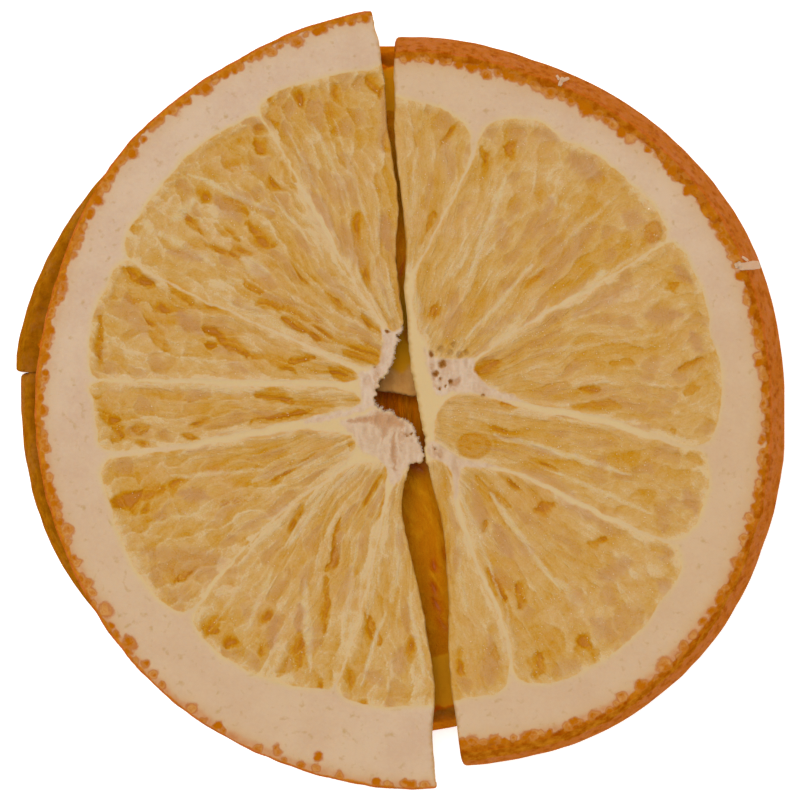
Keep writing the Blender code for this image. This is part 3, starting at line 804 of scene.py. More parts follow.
# %% Segment depths and sac directions
SAC_ANGLE = 0.050
FAN_BEHIND = 8.0
MEMBRANE_ROOM = 0.26
NEXT_SEGMENT = 20.0
SAC_LENGTHS = ([6, 14, 26, 33, 41], [0, 1.8, 5.3, 8.6, 13.6])


def segment_map(points, half):
    """Depth inside the nearest segment, and the sac coordinates across and along."""
    seed = half["seed"]
    uneven = bent(points, 0.22, 1.3, seed + 61)
    depth, second = np.full(len(points), -DISTANCE_REACH), np.full(len(points), -DISTANCE_REACH)
    chosen = np.zeros(len(points), int)
    for k, segment in enumerate(half["segments"]):
        own = depth_inside(uneven, closed_curve(segment))
        chosen = np.where(own > depth, k, chosen)
        second = np.maximum(second, np.minimum(own, depth))
        depth = np.maximum(depth, own)
    depth = np.minimum(depth, (depth - second) / 2 - MEMBRANE_ROOM)
    apexes = np.array(half["apexes"])
    back = apexes - [np.mean(segment, axis=0) for segment in half["segments"]]
    offset = points - (apexes + FAN_BEHIND * back / np.hypot(*back.T)[:, None])[chosen]
    reach = np.hypot(*offset.T)
    behind = math.radians(half["facing"] + 180)
    angle = (np.arctan2(offset[:, 1], offset[:, 0]) - behind) % (2 * math.pi)
    sway = layered_noise(points[:, 0] / 6, points[:, 1] / 6, seed + 71)
    across = (angle + 0.05 * sway) / SAC_ANGLE
    along = np.interp(reach, *SAC_LENGTHS) + 0.3 * layered_noise(across / 2.5, reach / 12, seed + 73)
    return depth, across, along + NEXT_SEGMENT * chosen


# %% [markdown]
# ## The map of a half-slice: flesh
#
# The map answers, for any point of the plan, what is there, how deep the surface lies, and what tone it has
# dried to. The top, the cut side and the underside all ask the same map, so what shows on top runs down
# through the slice, as it does in the fruit. Flesh comes first. A sac whose skin has closed over it is pale
# and full, and one that has dried open is golden and hollow, so one tone value also sets the height: 0 is a
# deep amber hollow and 1 a pale ridge. Each sac slopes from one side to the other, since it laps over its
# neighbour.

# %% Flesh of the map
PLAIN_TONE = 0.62
AMBER_DROP = 0.66
TONE_RELIEF = 0.30


def thin_lines(u, v, seed, width):
    """1 along thin wandering lines, where a soft field crosses its mean."""
    return ramp(np.abs(layered_noise(u, v, seed, layers=2)), width, 0)


def flesh_map(points, half):
    """Named arrays for the flesh: depth, tone, tan, amber, pale, level, across and along."""
    seed, strength = half["seed"], half["wall_strength"]
    depth, across, along = segment_map(points, half)
    skewed = across + 0.5 * layered_noise(across * 0.6, along * 0.8, seed + 12)
    slid = along + 0.4 * layered_noise(across * 0.8, along * 0.7, seed + 13)
    centre, gap, own, blended, side = cells(skewed, slid, seed)
    _, fine_gap, _, fine_blended, fine_side = cells(skewed * 2.1 + 7, slid * 1.7, seed + 3)
    wide = layered_noise(across * 0.35, along * 0.4, seed + 15)
    wander = layered_noise(across * 1.1, along * 0.8, seed + 16)
    wall = ramp(gap, 0.14 + 0.34 * strength * ramp(wander, -0.5, 0.6), 0.0)
    fine_wall = ramp(fine_gap, 0.30, 0.0) * ramp(wander, 0.5, -0.3)
    folds = thin_lines(across * 0.9, along * 0.24, seed + 18, 0.10) * ramp(wide, -0.4, 0.4)
    uneven = bent(bent(points, 0.5, 2.4, seed + 20), 0.30, 0.8, seed + 21)
    wobble = layered_noise(points[:, 0] / 0.8, points[:, 1] / 0.8, seed + 23)

    open_sac = ramp(own, 1 - half["amber_share"] - 0.02, 1 - half["amber_share"] + 0.02)
    pocket = open_sac * ramp(centre + 0.2 * wobble, 0.60, 0.05) * ramp(side, -0.3, 0.2)
    amber = np.maximum(stroke_mask(uneven, half["amber"], seed, lap=0.9), pocket)
    bruised = ramp(own, 0.48, 0.52) * ramp(own, 0.76, 0.72)
    bruised = bruised * ramp(centre + 0.3 * wobble, 0.80, 0.10) * 0.65
    tan = np.maximum(stroke_mask(uneven, half["tan"], seed + 1), bruised)
    pale = stroke_mask(bent(points, 0.3, 2.0, seed + 25), half["pale"], seed + 2)

    tone = PLAIN_TONE + 0.30 * (0.5 - blended) + 0.10 * (0.5 - fine_blended) + 0.18 * wide
    tone = tone - half["lap"] * ((0.28 + 0.16 * wander) * side + 0.10 * fine_side) + 0.16 * wobble
    tone = tone + 0.12 * strength * wall + 0.05 * fine_wall + 0.12 * folds + 0.18 * ramp(depth, 0.8, 0.0)
    tone = tone - (AMBER_DROP + 0.30 * wobble) * amber + 0.07 * pale
    level = SEGMENT_SINK * ramp(depth, -0.30, 0.9) - TONE_RELIEF * (np.clip(tone, -0.1, 1) - PLAIN_TONE)
    swayed = bent(bent(points, 0.3, 2.0, seed + 26), 0.14, 0.6, seed + 27)
    for x, y, wide_radius, deep_radius, own_tone, own_tan in half["round_sacs"]:
        offset = (swayed - (x, y)) / (wide_radius, deep_radius)
        reach = np.hypot(*offset.T)
        inside, skin = ramp(reach, 1.12, 0.86), ramp(np.abs(reach - 1.06), 0.16, 0.0)
        rings = own_tone + 0.06 * np.cos(10 * reach + 3 * wobble) + 0.30 * wobble + 0.14 * wander
        tone = tone + (rings - tone) * inside + (0.9 - tone) * 0.4 * skin
        amber, pale = amber * (1 - inside), pale * (1 - inside)
        tan = tan + (own_tan - tan) * inside
        level = level + (SEGMENT_SINK - 0.20 * (1 - reach**2) - level) * inside - 0.05 * skin
    level = level + 0.10 * tan * (1 + 0.6 * wobble) - 0.05 * folds
    return {
        "depth": depth, "tone": tone, "tan": tan, "amber": amber, "pale": pale,
        "across": across, "along": along, "level": level - 0.04 * strength * wall,
    }


# %% [markdown]
# ## The map of a half-slice: pith, membranes, core and peel
#
# Pith is smooth and nearly level. Membranes are thin folds of it that run between the segments. The core
# stands proud and is frayed. The peel's coloured layer is a band whose inner edge is ragged, because it
# follows the glands, and in places the pith beside it has a blush of tan.
#
# `streaked` says where the fine streaks of the sacs may raise the surface. It fades out at the segments'
# borders, where one segment's sac directions give way to the next one's, since streaks would be crushed to
# a dark line there.

# %% Everything at a point of the plan
FLESH_EDGE = (-0.32, -0.02)
CORE_EDGE = (-0.34, 0.30)
PIT_DEPTH = 0.45
# Where the painted light in the slit between the upper halves lies.
SLIT_X = 1.5
SLIT_REACH = (6.0, 3.0)
NO_SLIT_LIGHT = (40.0, 41.0)
MAP_VALUES = (
    "flesh", "tone", "tan", "amber", "pale", "rim", "membrane", "core", "torn", "hole", "frayed",
    "gland", "gland_tone", "warmth", "blush", "peel", "peel_tone", "outer_peel", "aired", "edge_shade",
    "streaked",
)


def peel_map(points, half):
    """Distance in from the peel, its band's width, the pith's blush and warmth, and the skin's start."""
    seed = half["seed"]
    offset = points - np.array(half["core"])
    degrees = np.degrees(np.arctan2(offset[:, 1], offset[:, 0]))
    share = peel_share_at(half, degrees)
    from_peel = peel_edge_at(half, degrees) - np.hypot(*offset.T)
    names = ("gland_band", "blush", "warmth", "skin_starts")
    band, blush, warmth, starts = (along_peel(half.get(name, (0.0, 0.0)), share) for name in names)
    ragged = layered_noise(points[:, 0] / 1.4, points[:, 1] / 1.4, seed + 22, layers=4)
    band = band * (1 + 0.55 * ragged)
    blush = blush * ramp(from_peel + 0.5 * ragged, band + 0.9, band + 0.2)
    warmth = warmth + 0.35 * ramp(from_peel + 0.6 * ragged, band + 1.9, band + 0.3)
    return from_peel, band, blush, warmth, starts


def slice_map(points, half):
    """All that the surface needs to know at each plan point, as named arrays."""
    seed = half["seed"]
    fields = flesh_map(points, half)
    from_core = np.hypot(*(points - np.array(half["core"])).T)
    depth = fields["depth"]
    flesh = ramp(depth, *FLESH_EDGE)
    frayed = layered_noise(points[:, 0] / 0.40, points[:, 1] / 0.95, seed + 41, layers=4)
    core = ramp(shape_depth(bent(points, 0.26, 0.7, seed + 42), half["core_shapes"]), *CORE_EDGE)
    torn = core * stroke_mask(bent(points, 0.35, 0.6, seed + 43), half["torn"], seed + 4)
    hole = spot_mask(bent(points, 0.14, 0.35, seed + 44), half["holes"])
    flesh = flesh * (1 - core)
    streaked = flesh * ramp(depth, -0.10, 0.06)
    from_peel, band, blush, warmth, skin_starts = peel_map(points, half)
    gland, gland_tone = gland_fields(points, half)
    peel = ramp(from_peel, band + 0.25, band - 0.25)
    membrane = (1 - flesh) * ramp(from_core, 24.0, 20.0) * (1 - core)
    rim = (1 - core) * ramp(depth, -0.75, -0.05) * ramp(from_core, 16.0, 24.0)

    pith_level = 0.04 + PITH_RELIEF * layered_noise(points[:, 0] / 2.2, points[:, 1] / 2.2, seed + 45)
    pith_level = pith_level + 0.03 * frayed + 0.12 * ramp(gland, 0.3, 0.9) + 0.05 * peel + 0.06 * membrane
    level = pith_level + (fields["level"] - pith_level) * flesh
    core_level = 0.10 + 0.20 * frayed + 0.16 * torn * (1 + 1.2 * frayed)
    level = level + (core_level - level) * core
    level = level + PIT_DEPTH * hole
    outside = 1 - np.maximum(flesh, core)
    # Painted light where light comes down the slit between the upper halves.
    aired = ramp(np.abs(points[:, 1]), *half.get("aired", NO_SLIT_LIGHT))
    aired = ramp(np.abs(points[:, 0] - SLIT_X), *SLIT_REACH) * aired
    outer_peel = ramp(from_peel, 0.24, 0.06) * ramp(skin_starts, 0.25, 0.05)
    fields.update({name: fields[name] * flesh for name in ("tan", "amber", "pale")})
    fields.update(
        flesh=flesh, rim=rim, membrane=membrane, core=core, torn=torn, hole=hole, gland=gland * outside,
        gland_tone=gland_tone, warmth=warmth, blush=blush * outside, peel=peel, skin_starts=skin_starts,
        outer_peel=outer_peel, aired=aired, level=level, frayed=0.5 + 0.5 * frayed, streaked=streaked,
        peel_tone=np.full(len(points), half["peel_tone"]),
    )
    return fields


# %% [markdown]
# ## From outline to closed mesh
#
# Blender can fill an outline with a chosen set of points: `delaunay_2d_cdt` joins them into well-shaped
# triangles and keeps the outline's own edges. It also spans the bays of a hollow outline, so triangles with
# their middles outside are dropped. Points lie closest together where the flesh is. The top, the underside
# and the flank between them share their border points, so the half-slice is one closed mesh with no seam.

# %% Filling an outline
def lattice(low, high, spacing):
    """A triangular lattice of points over a box."""
    rows = np.arange(low[1], high[1], spacing * math.sqrt(3) / 2)
    columns = np.arange(low[0], high[0] + spacing, spacing)
    x, y = np.meshgrid(columns, rows)
    x = x + (np.arange(len(rows)) % 2 * spacing / 2)[:, None]
    return np.column_stack([x.ravel(), y.ravel()])


def inner_points(outline, half, spacing):
    """Points inside an outline: close in flesh and core, wider along the peel, widest in plain pith."""
    found = []
    for wanted, share in enumerate((1.0, GLAND_SPACING_SHARE, PITH_SPACING_SHARE)):
        step = min(spacing * share, max(spacing, COARSE))
        points = lattice(outline.min(0), outline.max(0), step)
        points = points[inside_line(points, outline)]
        shapes = half["segments"] + half["core_shapes"]
        from_peel, band = peel_map(points, half)[:2]
        kind = np.where(shape_depth(points, shapes) > -0.5, 0, np.where(from_peel < band + 1.3, 1, 2))
        points = points[kind == wanted]
        found.append(points[distance_to_line(points, closed(outline)) > step * 0.55])
    return np.vstack(found)


def filled(outline, inner):
    """The outline's points and then the inner ones, and the triangles that join them."""
    points = np.vstack([outline, inner])
    loop = list(range(len(outline)))
    result = geometry.delaunay_2d_cdt([Vector(p) for p in points], [], [loop], 1, 1e-6, True)
    place = np.full(len(points), -1)
    for index, sources in enumerate(result[3]):
        for source in sources:
            place[source] = index
    back = np.empty(len(result[0]), int)
    back[place] = np.arange(len(points))
    triangles = back[np.array(result[2])]
    return points, triangles[inside_line(points[triangles].mean(1), outline)]


def keep_in_box(points, node):
    """Points in metres held just inside the CAD node's own height and the whole model's plan box."""
    low, high = (np.array(corner) for corner in cad_box)
    low[2], high[2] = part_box(node)[0].z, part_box(node)[1].z
    return np.clip(points, low + BOX_CLEARANCE * MM, high - BOX_CLEARANCE * MM)


# %% [markdown]
# ## Building one half-slice
#
# The top is pushed down by the map's level, and its border is eased over so that no edge is knife sharp.
# The flank runs down in rows. On the peel it bulges a little and carries pores, and on the cut it is
# creased where sacs were sliced through. Every value that the finish needs is stored on the points, as mesh
# attributes.

# %% Shape of a half-slice
PORE_SIZE = 0.62
# Width of the painted warm shade along the top edge of an upper half, in mm.
EDGE_SHADE_WIDTH = 0.16


def flank_relief(half, peel_share, way, height_share):
    """How far the flank stands out, in mm, at a way along the outline and a share of the height."""
    seed = half["seed"]
    bulge = 0.10 * np.sin(np.pi * height_share)
    pore_gap = cells(way / PORE_SIZE, height_share * 5 / PORE_SIZE + way * 0, seed + 51)[1]
    swell = layered_noise(way / 2.5, height_share * 2 + way * 0, seed + 52)
    pores = 0.05 * ramp(pore_gap, 0.0, 0.5) + 0.04 * swell
    sac_gap = cells(way, height_share * 1.6 + way * 0, seed + 53)[1]
    sacs = 0.16 * ramp(sac_gap, 0.0, 0.45) - 0.16
    sacs = sacs + 0.07 * layered_noise(way / 0.8, height_share * 3 + way * 0, seed + 54)
    return peel_share * (bulge + pores - 0.05) + (1 - peel_share) * sacs


def eased(points, outline, level):
    """The level, with a rounded drop along the outline."""
    edge = distance_to_line(points, closed(outline))
    edge[: len(outline)] = 0
    over = np.clip(1 - edge / EDGE_SOFTNESS, 0, 1)
    return level + EDGE_SOFTNESS * (1 - np.sqrt(1 - over**2)) * 0.8


def flank_columns(half, upper, foot, outward, peel_share, way, top_z, foot_z):
    """Points of the flank's inner rows, and each one's share of the way down."""
    rows = []
    for k in range(1, FLANK_ROWS):
        share = k / FLANK_ROWS
        plan = upper + (foot - upper) * share
        plan = plan + outward * flank_relief(half, peel_share, way, share)[:, None]
        rows.append(np.column_stack([plan, top_z + (foot_z - top_z) * share]))
    return np.vstack(rows), np.repeat(np.arange(1, FLANK_ROWS) / FLANK_ROWS, len(upper))


def build_half(half):
    """The closed mesh object of one half-slice, with its map stored on the points."""
    low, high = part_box(half["node"])
    upper, foot, outward, peel_share = outlines(half)
    count = len(upper)
    top_points, top_faces = filled(upper, inner_points(upper, half, TOP_SPACING[half["layer"]]))
    foot_points, foot_faces = filled(foot, inner_points(foot, half, FOOT_SPACING[half["layer"]]))
    top_map, foot_map = slice_map(top_points, half), slice_map(foot_points, half)
    from_edge = distance_to_line(top_points, closed(upper))
    from_edge[:count] = 0
    for plan_map in (top_map, foot_map):
        plan_map["streaked"][:count] = 0
    # Painted warm shade on a thin band along the top edge of an upper half.
    top_map["edge_shade"] = ramp(from_edge, EDGE_SHADE_WIDTH, 0.0) * (half["layer"] == "upper")
    foot_map["edge_shade"] = np.zeros(len(foot_points))
    top_z = high.z / MM - eased(top_points, upper, np.maximum(top_map["level"], 0))
    foot_z = low.z / MM + eased(foot_points, foot, np.maximum(foot_map["level"], 0))
    way = np.r_[0, np.cumsum(np.hypot(*np.diff(upper, axis=0).T))]
    lines = (upper, foot, outward, peel_share, way)
    flank, row_share = flank_columns(half, *lines, top_z[:count], foot_z[:count])

    base = len(top_points) + len(flank)
    top, underside = np.column_stack([top_points, top_z]), np.column_stack([foot_points, foot_z])
    points = np.vstack([top, flank, underside])
    ring = np.arange(count)
    loops = [ring] + [len(top_points) + k * count + ring for k in range(FLANK_ROWS - 1)] + [base + ring]
    quads = np.vstack([
        np.column_stack([a, b, np.roll(b, -1), np.roll(a, -1)]) for a, b in zip(loops[:-1], loops[1:])
    ])
    faces = top_faces.tolist() + quads.tolist() + (foot_faces + base)[:, ::-1].tolist()
    mesh = bpy.data.meshes.new(half["node"] + "_flesh_and_peel")
    mesh.from_pydata(keep_in_box(points * MM, half["node"]).tolist(), [], faces)
    mesh.shade_smooth()
    store_map(mesh, half, top_map, foot_map, peel_share, way, row_share)
    store_bake_layout(mesh, points, len(top_faces), len(quads), count)
    obj = bpy.data.objects.new(half["node"] + "_dried", mesh)
    bpy.context.scene.collection.objects.link(obj)
    loose = open_edges(mesh)
    print(f"{obj.name}: {len(top_faces) + 2 * len(quads) + len(foot_faces)} triangles, {loose} open edges")
    return obj


def open_edges(mesh):
    """How many edges don't join exactly two faces. A closed mesh has none."""
    corner_edges = np.empty(len(mesh.loops), np.int32)
    mesh.loops.foreach_get("edge_index", corner_edges)
    return int(np.sum(np.bincount(corner_edges, minlength=len(mesh.edges)) != 2))


# %% [markdown]
# ## Storing the map on the mesh
#
# A mesh attribute is a named value on each point, and a shader can read it. The flank takes its values from
# the edge above it: pith and flesh run straight down the cut, and the peel side is skin from where
# `skin_starts` says. Three more values are painted light and shade. One darkens the lower half-slices all
# over with a warm tint, as painted shade for lying under the upper ones. One eases that as painted light
# where light comes down the slit between the upper halves. One is painted warm shade on a thin line
# along the top edge of an upper half and on its cut flank.

# %% Store the map
FLANK_PLAIN = ("gland", "tan", "pale", "torn", "hole", "blush", "rim")
# How much painted shade the lower halves keep at the foot, and how much painted light their cut flanks get.
UNDER_SHADE_AT_FOOT = 0.8
FLANK_SLIT_LIGHT = 0.4


def store_value(mesh, name, values):
    """One number for each point."""
    values = np.asarray(values, np.float32)
    mesh.attributes.new(name, "FLOAT", "POINT").data.foreach_set("value", values)


def store_map(mesh, half, top_map, foot_map, peel_share, way, row_share):
    """Writes every value of the map, the sac coordinates and the painted shade of the lower halves on the
    mesh.
    """
    side_share = np.tile(peel_share, FLANK_ROWS - 1)
    side_peel = ramp(side_share, 0.35, 0.75)
    for name in MAP_VALUES:
        side = np.tile(top_map[name][: len(way)], FLANK_ROWS - 1)
        if name in FLANK_PLAIN:
            side = side * 0
        elif name == "streaked":
            middle = np.abs(row_share - 0.5) * FLANK_ROWS < FLANK_ROWS / 2 - 1.5
            side = np.tile(top_map["flesh"][: len(way)], FLANK_ROWS - 1) * middle
        # Painted light on the cut flanks of the lower halves.
        elif name == "aired":
            side = np.maximum(side, FLANK_SLIT_LIGHT * (1 - side_peel))
        # Painted warm shade on the whole cut flank of an upper half.
        elif name == "edge_shade":
            side = (1 - side_peel) * (half["layer"] == "upper")
        elif name == "outer_peel":
            starts = np.tile(top_map["skin_starts"][: len(way)], FLANK_ROWS - 1)
            side = side_peel * ramp(row_share, starts - 0.10, starts + 0.05)
        elif name == "peel":
            side = np.maximum(side, side_peel)
        store_value(mesh, name, np.r_[top_map[name], side, foot_map[name]])
    # Painted shade: the lower half-slices are darkened all over, less at the core and towards the foot.
    under_shade = (half["layer"] == "lower") * (1 - (1 - half.get("core_under_shade", 1.0)) * top_map["core"])
    down = 1 - (1 - UNDER_SHADE_AT_FOOT) * row_share
    side_under_shade = np.tile(under_shade[: len(way)], FLANK_ROWS - 1) * down
    store_value(mesh, "under_shade", np.r_[under_shade, side_under_shade, UNDER_SHADE_AT_FOOT * under_shade.max() + 0 * foot_map["tone"]])
    across = np.r_[top_map["across"], np.tile(way / 0.5, FLANK_ROWS - 1), foot_map["across"]]
    along = np.r_[top_map["along"], row_share * 1.5, foot_map["along"]]
    flow = np.column_stack([across, along, 0 * along]).astype(np.float32)
    mesh.attributes.new("sac_flow", "FLOAT_VECTOR", "POINT").data.foreach_set("vector", flow.ravel())


# %% [markdown]
# ## A flat layout for baking
#
# Each face corner gets a place on a flat sheet, so that the finish can be baked to a flat picture. A layout
# set out one piece at a time wastes less of it than an automatic one: the top takes the left half, the
# underside the right half, and the flank is laid out as two strips above them.

# %% Bake layout
STRIP_START = 0.90
STRIP_STEP = 0.05
STRIP_HEIGHT = 0.045


def store_bake_layout(mesh, points, top_count, quad_count, ring):
    """Places each face corner on the flat bake sheet."""
    corner_point = np.empty(len(mesh.loops), np.int32)
    mesh.loops.foreach_get("vertex_index", corner_point)
    low, high = points[:, :2].min(0), points[:, :2].max(0)
    lies_wide = (high - low)[0] > (high - low)[1]
    plan = (points[:, :2] - low)[:, ::-1] if lies_wide else points[:, :2] - low
    scale = min(0.48 / plan[:, 0].max(), 0.88 / plan[:, 1].max())
    sheet = plan[corner_point] * scale + 0.005
    top_corners, side_corners = top_count * 3, quad_count * 4
    sheet[top_corners + side_corners:, 0] += 0.5
    column = np.tile(np.arange(ring), FLANK_ROWS)
    strip_length = ring / 2
    for corner, (step, row) in enumerate(((0, 0), (0, 1), (1, 1), (1, 0))):
        across = (column % strip_length + step) / strip_length * 0.98 + 0.01
        down = (np.repeat(np.arange(FLANK_ROWS), ring) + row) / FLANK_ROWS * STRIP_HEIGHT
        above = STRIP_START + np.where(column >= strip_length, STRIP_STEP, 0.0)
        sheet[top_corners + corner: top_corners + side_corners: 4] = np.column_stack([across, above + down])
    mesh.uv_layers.new(name="OFBake").data.foreach_set("uv", sheet.astype(np.float32).ravel())


# %% Make the four half-slices
dried_halves = {half["node"]: build_half(half) for half in HALVES}

# %% [markdown]
# ## Finishes: helpers for building them
#
# A finish is a small network of nodes. These helpers keep the network readable: one makes a node, one feeds
# a value or a link into a socket, and one mixes two colours by a mask. Colours are noted in the everyday 0
# to 255 terms, as they look on the table, and turned into the light values that a shader works in. The
# studio light is a fifth brighter than white paper needs, so the paper burns out to pure white, and every
# colour is divided by that.

# %% Node helpers
STUDIO_BRIGHTNESS = 1.22


def light_colour(red, green, blue):
    """An everyday 0 to 255 colour, as seen in the studio, as the linear values that a shader wants."""
    channels = (value / 255 for value in (red, green, blue))
    linear = (c / 12.92 if c <= 0.04045 else ((c + 0.055) / 1.055) ** 2.4 for c in channels)
    return tuple(c / STUDIO_BRIGHTNESS for c in linear) + (1.0,)


def feed(tree, socket, value):
    """Links a socket to the value, or sets it if the value is a plain one."""
    if isinstance(value, bpy.types.NodeSocket):
        tree.links.new(value, socket)
    elif value is not None:
        socket.default_value = value


def node(tree, kind, inputs=None, **settings):
    """A new node with its settings made and its inputs fed, by name or by number."""
    made = tree.nodes.new(kind)
    for key, value in settings.items():
        setattr(made, key, value)
    for key, value in (inputs or {}).items():
        feed(tree, made.inputs[key], value)
    return made


def blend_colour(tree, mask, below, above, way="MIX"):
    """The colour below, with the colour above laid over it, or multiplied with it, where the mask is 1."""
    mix = node(tree, "ShaderNodeMix", data_type="RGBA", blend_type=way)
    for number, value in ((0, mask), (6, below), (7, above)):
        feed(tree, mix.inputs[number], value)
    return mix.outputs[2]


def sum_up(tree, operation, a, b, c=None):
    """One step of arithmetic on two or three values."""
    return node(tree, "ShaderNodeMath", {0: a, 1: b, 2: c}, operation=operation).outputs[0]


def stretched(tree, value, low, high):
    """The value stretched so that low becomes 0 and high becomes 1, and cut off beyond them."""
    return node(tree, "ShaderNodeMapRange", {"Value": value, "From Min": low, "From Max": high}).outputs[0]


def noise(tree, vector, scale, detail, **more):
    """Soft noise at a scale, with finer layers in it: its value is output 0 and its colour output 1."""
    inputs = {"Vector": vector, "Scale": scale, "Detail": detail, **more}
    return node(tree, "ShaderNodeTexNoise", inputs).outputs


def stored(tree, name):
    """A value stored on the mesh's points."""
    return node(tree, "ShaderNodeAttribute", attribute_name=name).outputs["Fac"]


def new_group(name, inputs, outputs):
    """An empty node group with named float inputs and outputs, and its two end nodes."""
    group = bpy.data.node_groups.new(name, "ShaderNodeTree")
    for label, kind, value in inputs:
        socket = group.interface.new_socket(label, in_out="INPUT", socket_type=kind)
        if value is not None:
            socket.default_value = value
    for label in outputs:
        group.interface.new_socket(label, in_out="OUTPUT", socket_type="NodeSocketFloat")
    return group, group.nodes.new("NodeGroupInput").outputs, group.nodes.new("NodeGroupOutput").inputs


def put_out(group, out, **values):
    """Feeds each named value to the group's output of that name."""
    for label, value in values.items():
        feed(group, out[label], value)
    return group


def place(tree, group, inputs=None):
    """A copy of a node group in a material, with its own values."""
    made = node(tree, "ShaderNodeGroup", node_tree=group)
    for key, value in (inputs or {}).items():
        feed(tree, made.inputs[key], value)
    return made.outputs


def new_finish(name):
    """A new material, its node tree and its shader."""
    material = bpy.data.materials.new(name)
    material.use_nodes = True
    return material, material.node_tree, material.node_tree.nodes["Principled BSDF"]


def set_plain(sockets, values):
    """Sets the sockets of what is the same all over the surface."""
    for label, value in values.items():
        sockets[label].default_value = value


# %% [markdown]
# ## Effects that the finishes share
#
# Dried flesh is streaked along its sacs, and where it is bruised it has a grain like coarse sand. Pith is
# crumbly, with rare brown specks. Peel is pitted and mottled. Each is a node group that puts out only
# masks, so that any finish can use it at its own scale.

# %% Shared effects
def sac_streaks():
    """Streaks and threads that run along the juice sacs, and the net of skins between the sacs."""
    group, given, out = new_group(
        "sac_streaks",
        [("Flow", "NodeSocketVector", None), ("Across", "NodeSocketFloat", 4.0),
         ("Along", "NodeSocketFloat", 1.0)],
        ["Streaks", "Threads", "Skins"],
    )
    scales = node(group, "ShaderNodeCombineXYZ", {0: given["Across"], 1: given["Along"], 2: 1.0}).outputs[0]
    multiplied = node(group, "ShaderNodeVectorMath", {0: given["Flow"], 1: scales}, operation="MULTIPLY")
    flow = multiplied.outputs[0]
    broad = noise(group, flow, 1.0, 3.0, Roughness=0.55, Distortion=0.5)[0]
    threads = noise(group, flow, 2.6, 2.0, Roughness=0.5, Distortion=0.8)[0]
    swirl = noise(group, flow, 0.7, 2.0)[1]
    pushed = node(
        group, "ShaderNodeVectorMath", {0: swirl, 1: (1.1, 1.1, 1.1), 2: flow}, operation="MULTIPLY_ADD"
    )
    net = node(group, "ShaderNodeTexVoronoi", {"Vector": pushed.outputs[0], "Scale": 0.62},
               feature="DISTANCE_TO_EDGE", voronoi_dimensions="2D")
    skins = stretched(group, net.outputs["Distance"], 0.11, 0.0)
    return put_out(group, out, Streaks=broad, Threads=stretched(group, threads, 0.35, 0.68), Skins=skins)


def dry_crumb():
    """The grain of dry pith and flesh, the rare brown specks in pith, and broad blotches."""
    group, given, out = new_group(
        "dry_crumb", [("Grains per metre", "NodeSocketFloat", 2500.0)],
        ["Crumb", "Grit", "Specks", "Blotches"],
    )
    place_on = node(group, "ShaderNodeTexCoord").outputs["Object"]
    crumb = noise(group, place_on, given["Grains per metre"], 3.0, Roughness=0.6)[0]
    grit = noise(group, place_on, 6500.0, 2.0, Roughness=0.7)[0]
    rare = stretched(group, noise(group, place_on, 1250.0, 3.0)[0], 0.61, 0.75)
    blotches = noise(group, place_on, 260.0, 3.0)[0]
    return put_out(group, out, Crumb=crumb, Grit=grit, Specks=rare, Blotches=blotches)


def peel_pores():
    """Pits in the peel's skin, and the mottling round them."""
    group, given, out = new_group(
        "peel_pores", [("Pores per metre", "NodeSocketFloat", 1500.0)], ["Pits", "Mottle"]
    )
    place_on = node(group, "ShaderNodeTexCoord").outputs["Object"]
    squeezed = node(group, "ShaderNodeVectorMath", {0: place_on, 1: (1.0, 1.0, 0.6)}, operation="MULTIPLY")
    place_on = squeezed.outputs[0]
    pits = node(group, "ShaderNodeTexVoronoi", {"Vector": place_on, "Scale": given["Pores per metre"]})
    round_pits = stretched(group, pits.outputs["Distance"], 0.1, 0.55)
    mottle = stretched(group, noise(group, place_on, 1100.0, 4.0, Roughness=0.62)[0], 0.32, 0.68)
    return put_out(group, out, Pits=round_pits, Mottle=mottle)


EFFECTS = {"streaks": sac_streaks(), "crumb": dry_crumb(), "pores": peel_pores()}
print("effects:", [group.name for group in EFFECTS.values()])

# %% [markdown]
# ## The dried orange finish
#
# One finish covers a whole half-slice, because in the fruit peel, pith and flesh are one tissue and grade
# into each other. It starts from pith and lays the rest over it by the masks on the mesh: membranes, the
# white core, flesh in a ramp from gold to cream, amber hollows, glands, and the peel. Last come two tints
# that multiply what lies under them: painted warm shade along the top edges and cut flanks of the upper
# halves, and painted shade over the lower halves, eased as painted light in the slit. There the lower
# halves' peel takes a shaded copy of the rind's colour. Only the amber hollows are glossy. Cutting the mesh
# into separate pieces with separate finishes would leave hard lines that the fruit doesn't have.

# %% Colours
PALETTE = {
    "pith": (211, 182, 153), "pith_shadow": (204, 171, 143), "pith_warm": (201, 162, 113),
    "speck": (188, 152, 98), "rim": (211, 181, 124), "membrane": (211, 181, 131),
    "core": (213, 186, 160), "core_crack": (199, 163, 132), "torn": (203, 160, 118),
    # The pits are orange-brown, darker at their middle as painted shade in the pit.
    "torn_crack": (176, 120, 74), "hole_rim": (190, 140, 86), "hole": (142, 86, 26),
    "tan": (205, 152, 104), "tan_grain": (182, 122, 70), "pale": (208, 176, 117),
    "pale_ridge": (211, 185, 140), "gland_ring": (177, 94, 28), "gland": (184, 102, 4),
    "gland_pale": (204, 146, 80), "blush": (204, 152, 106), "blush_spot": (190, 122, 70),
    "peel_light": (199, 124, 24), "peel_deep": (158, 77, 0), "skin": (186, 101, 29),
    # The lower halves' rind colours, from the end of the next line on, are a shaded copy of the peel, as
    # painted shade, and a lighter copy as painted light where the slit lets light in.
    "skin_pit": (166, 82, 18), "skin_bloom": (197, 118, 74), "shaded_rind": (170, 104, 8),
    "shaded_rind_deep": (140, 80, 2), "shaded_rind_bloom": (172, 116, 64),
    "aired_rind": (196, 108, 8), "aired_rind_deep": (178, 92, 4),
}
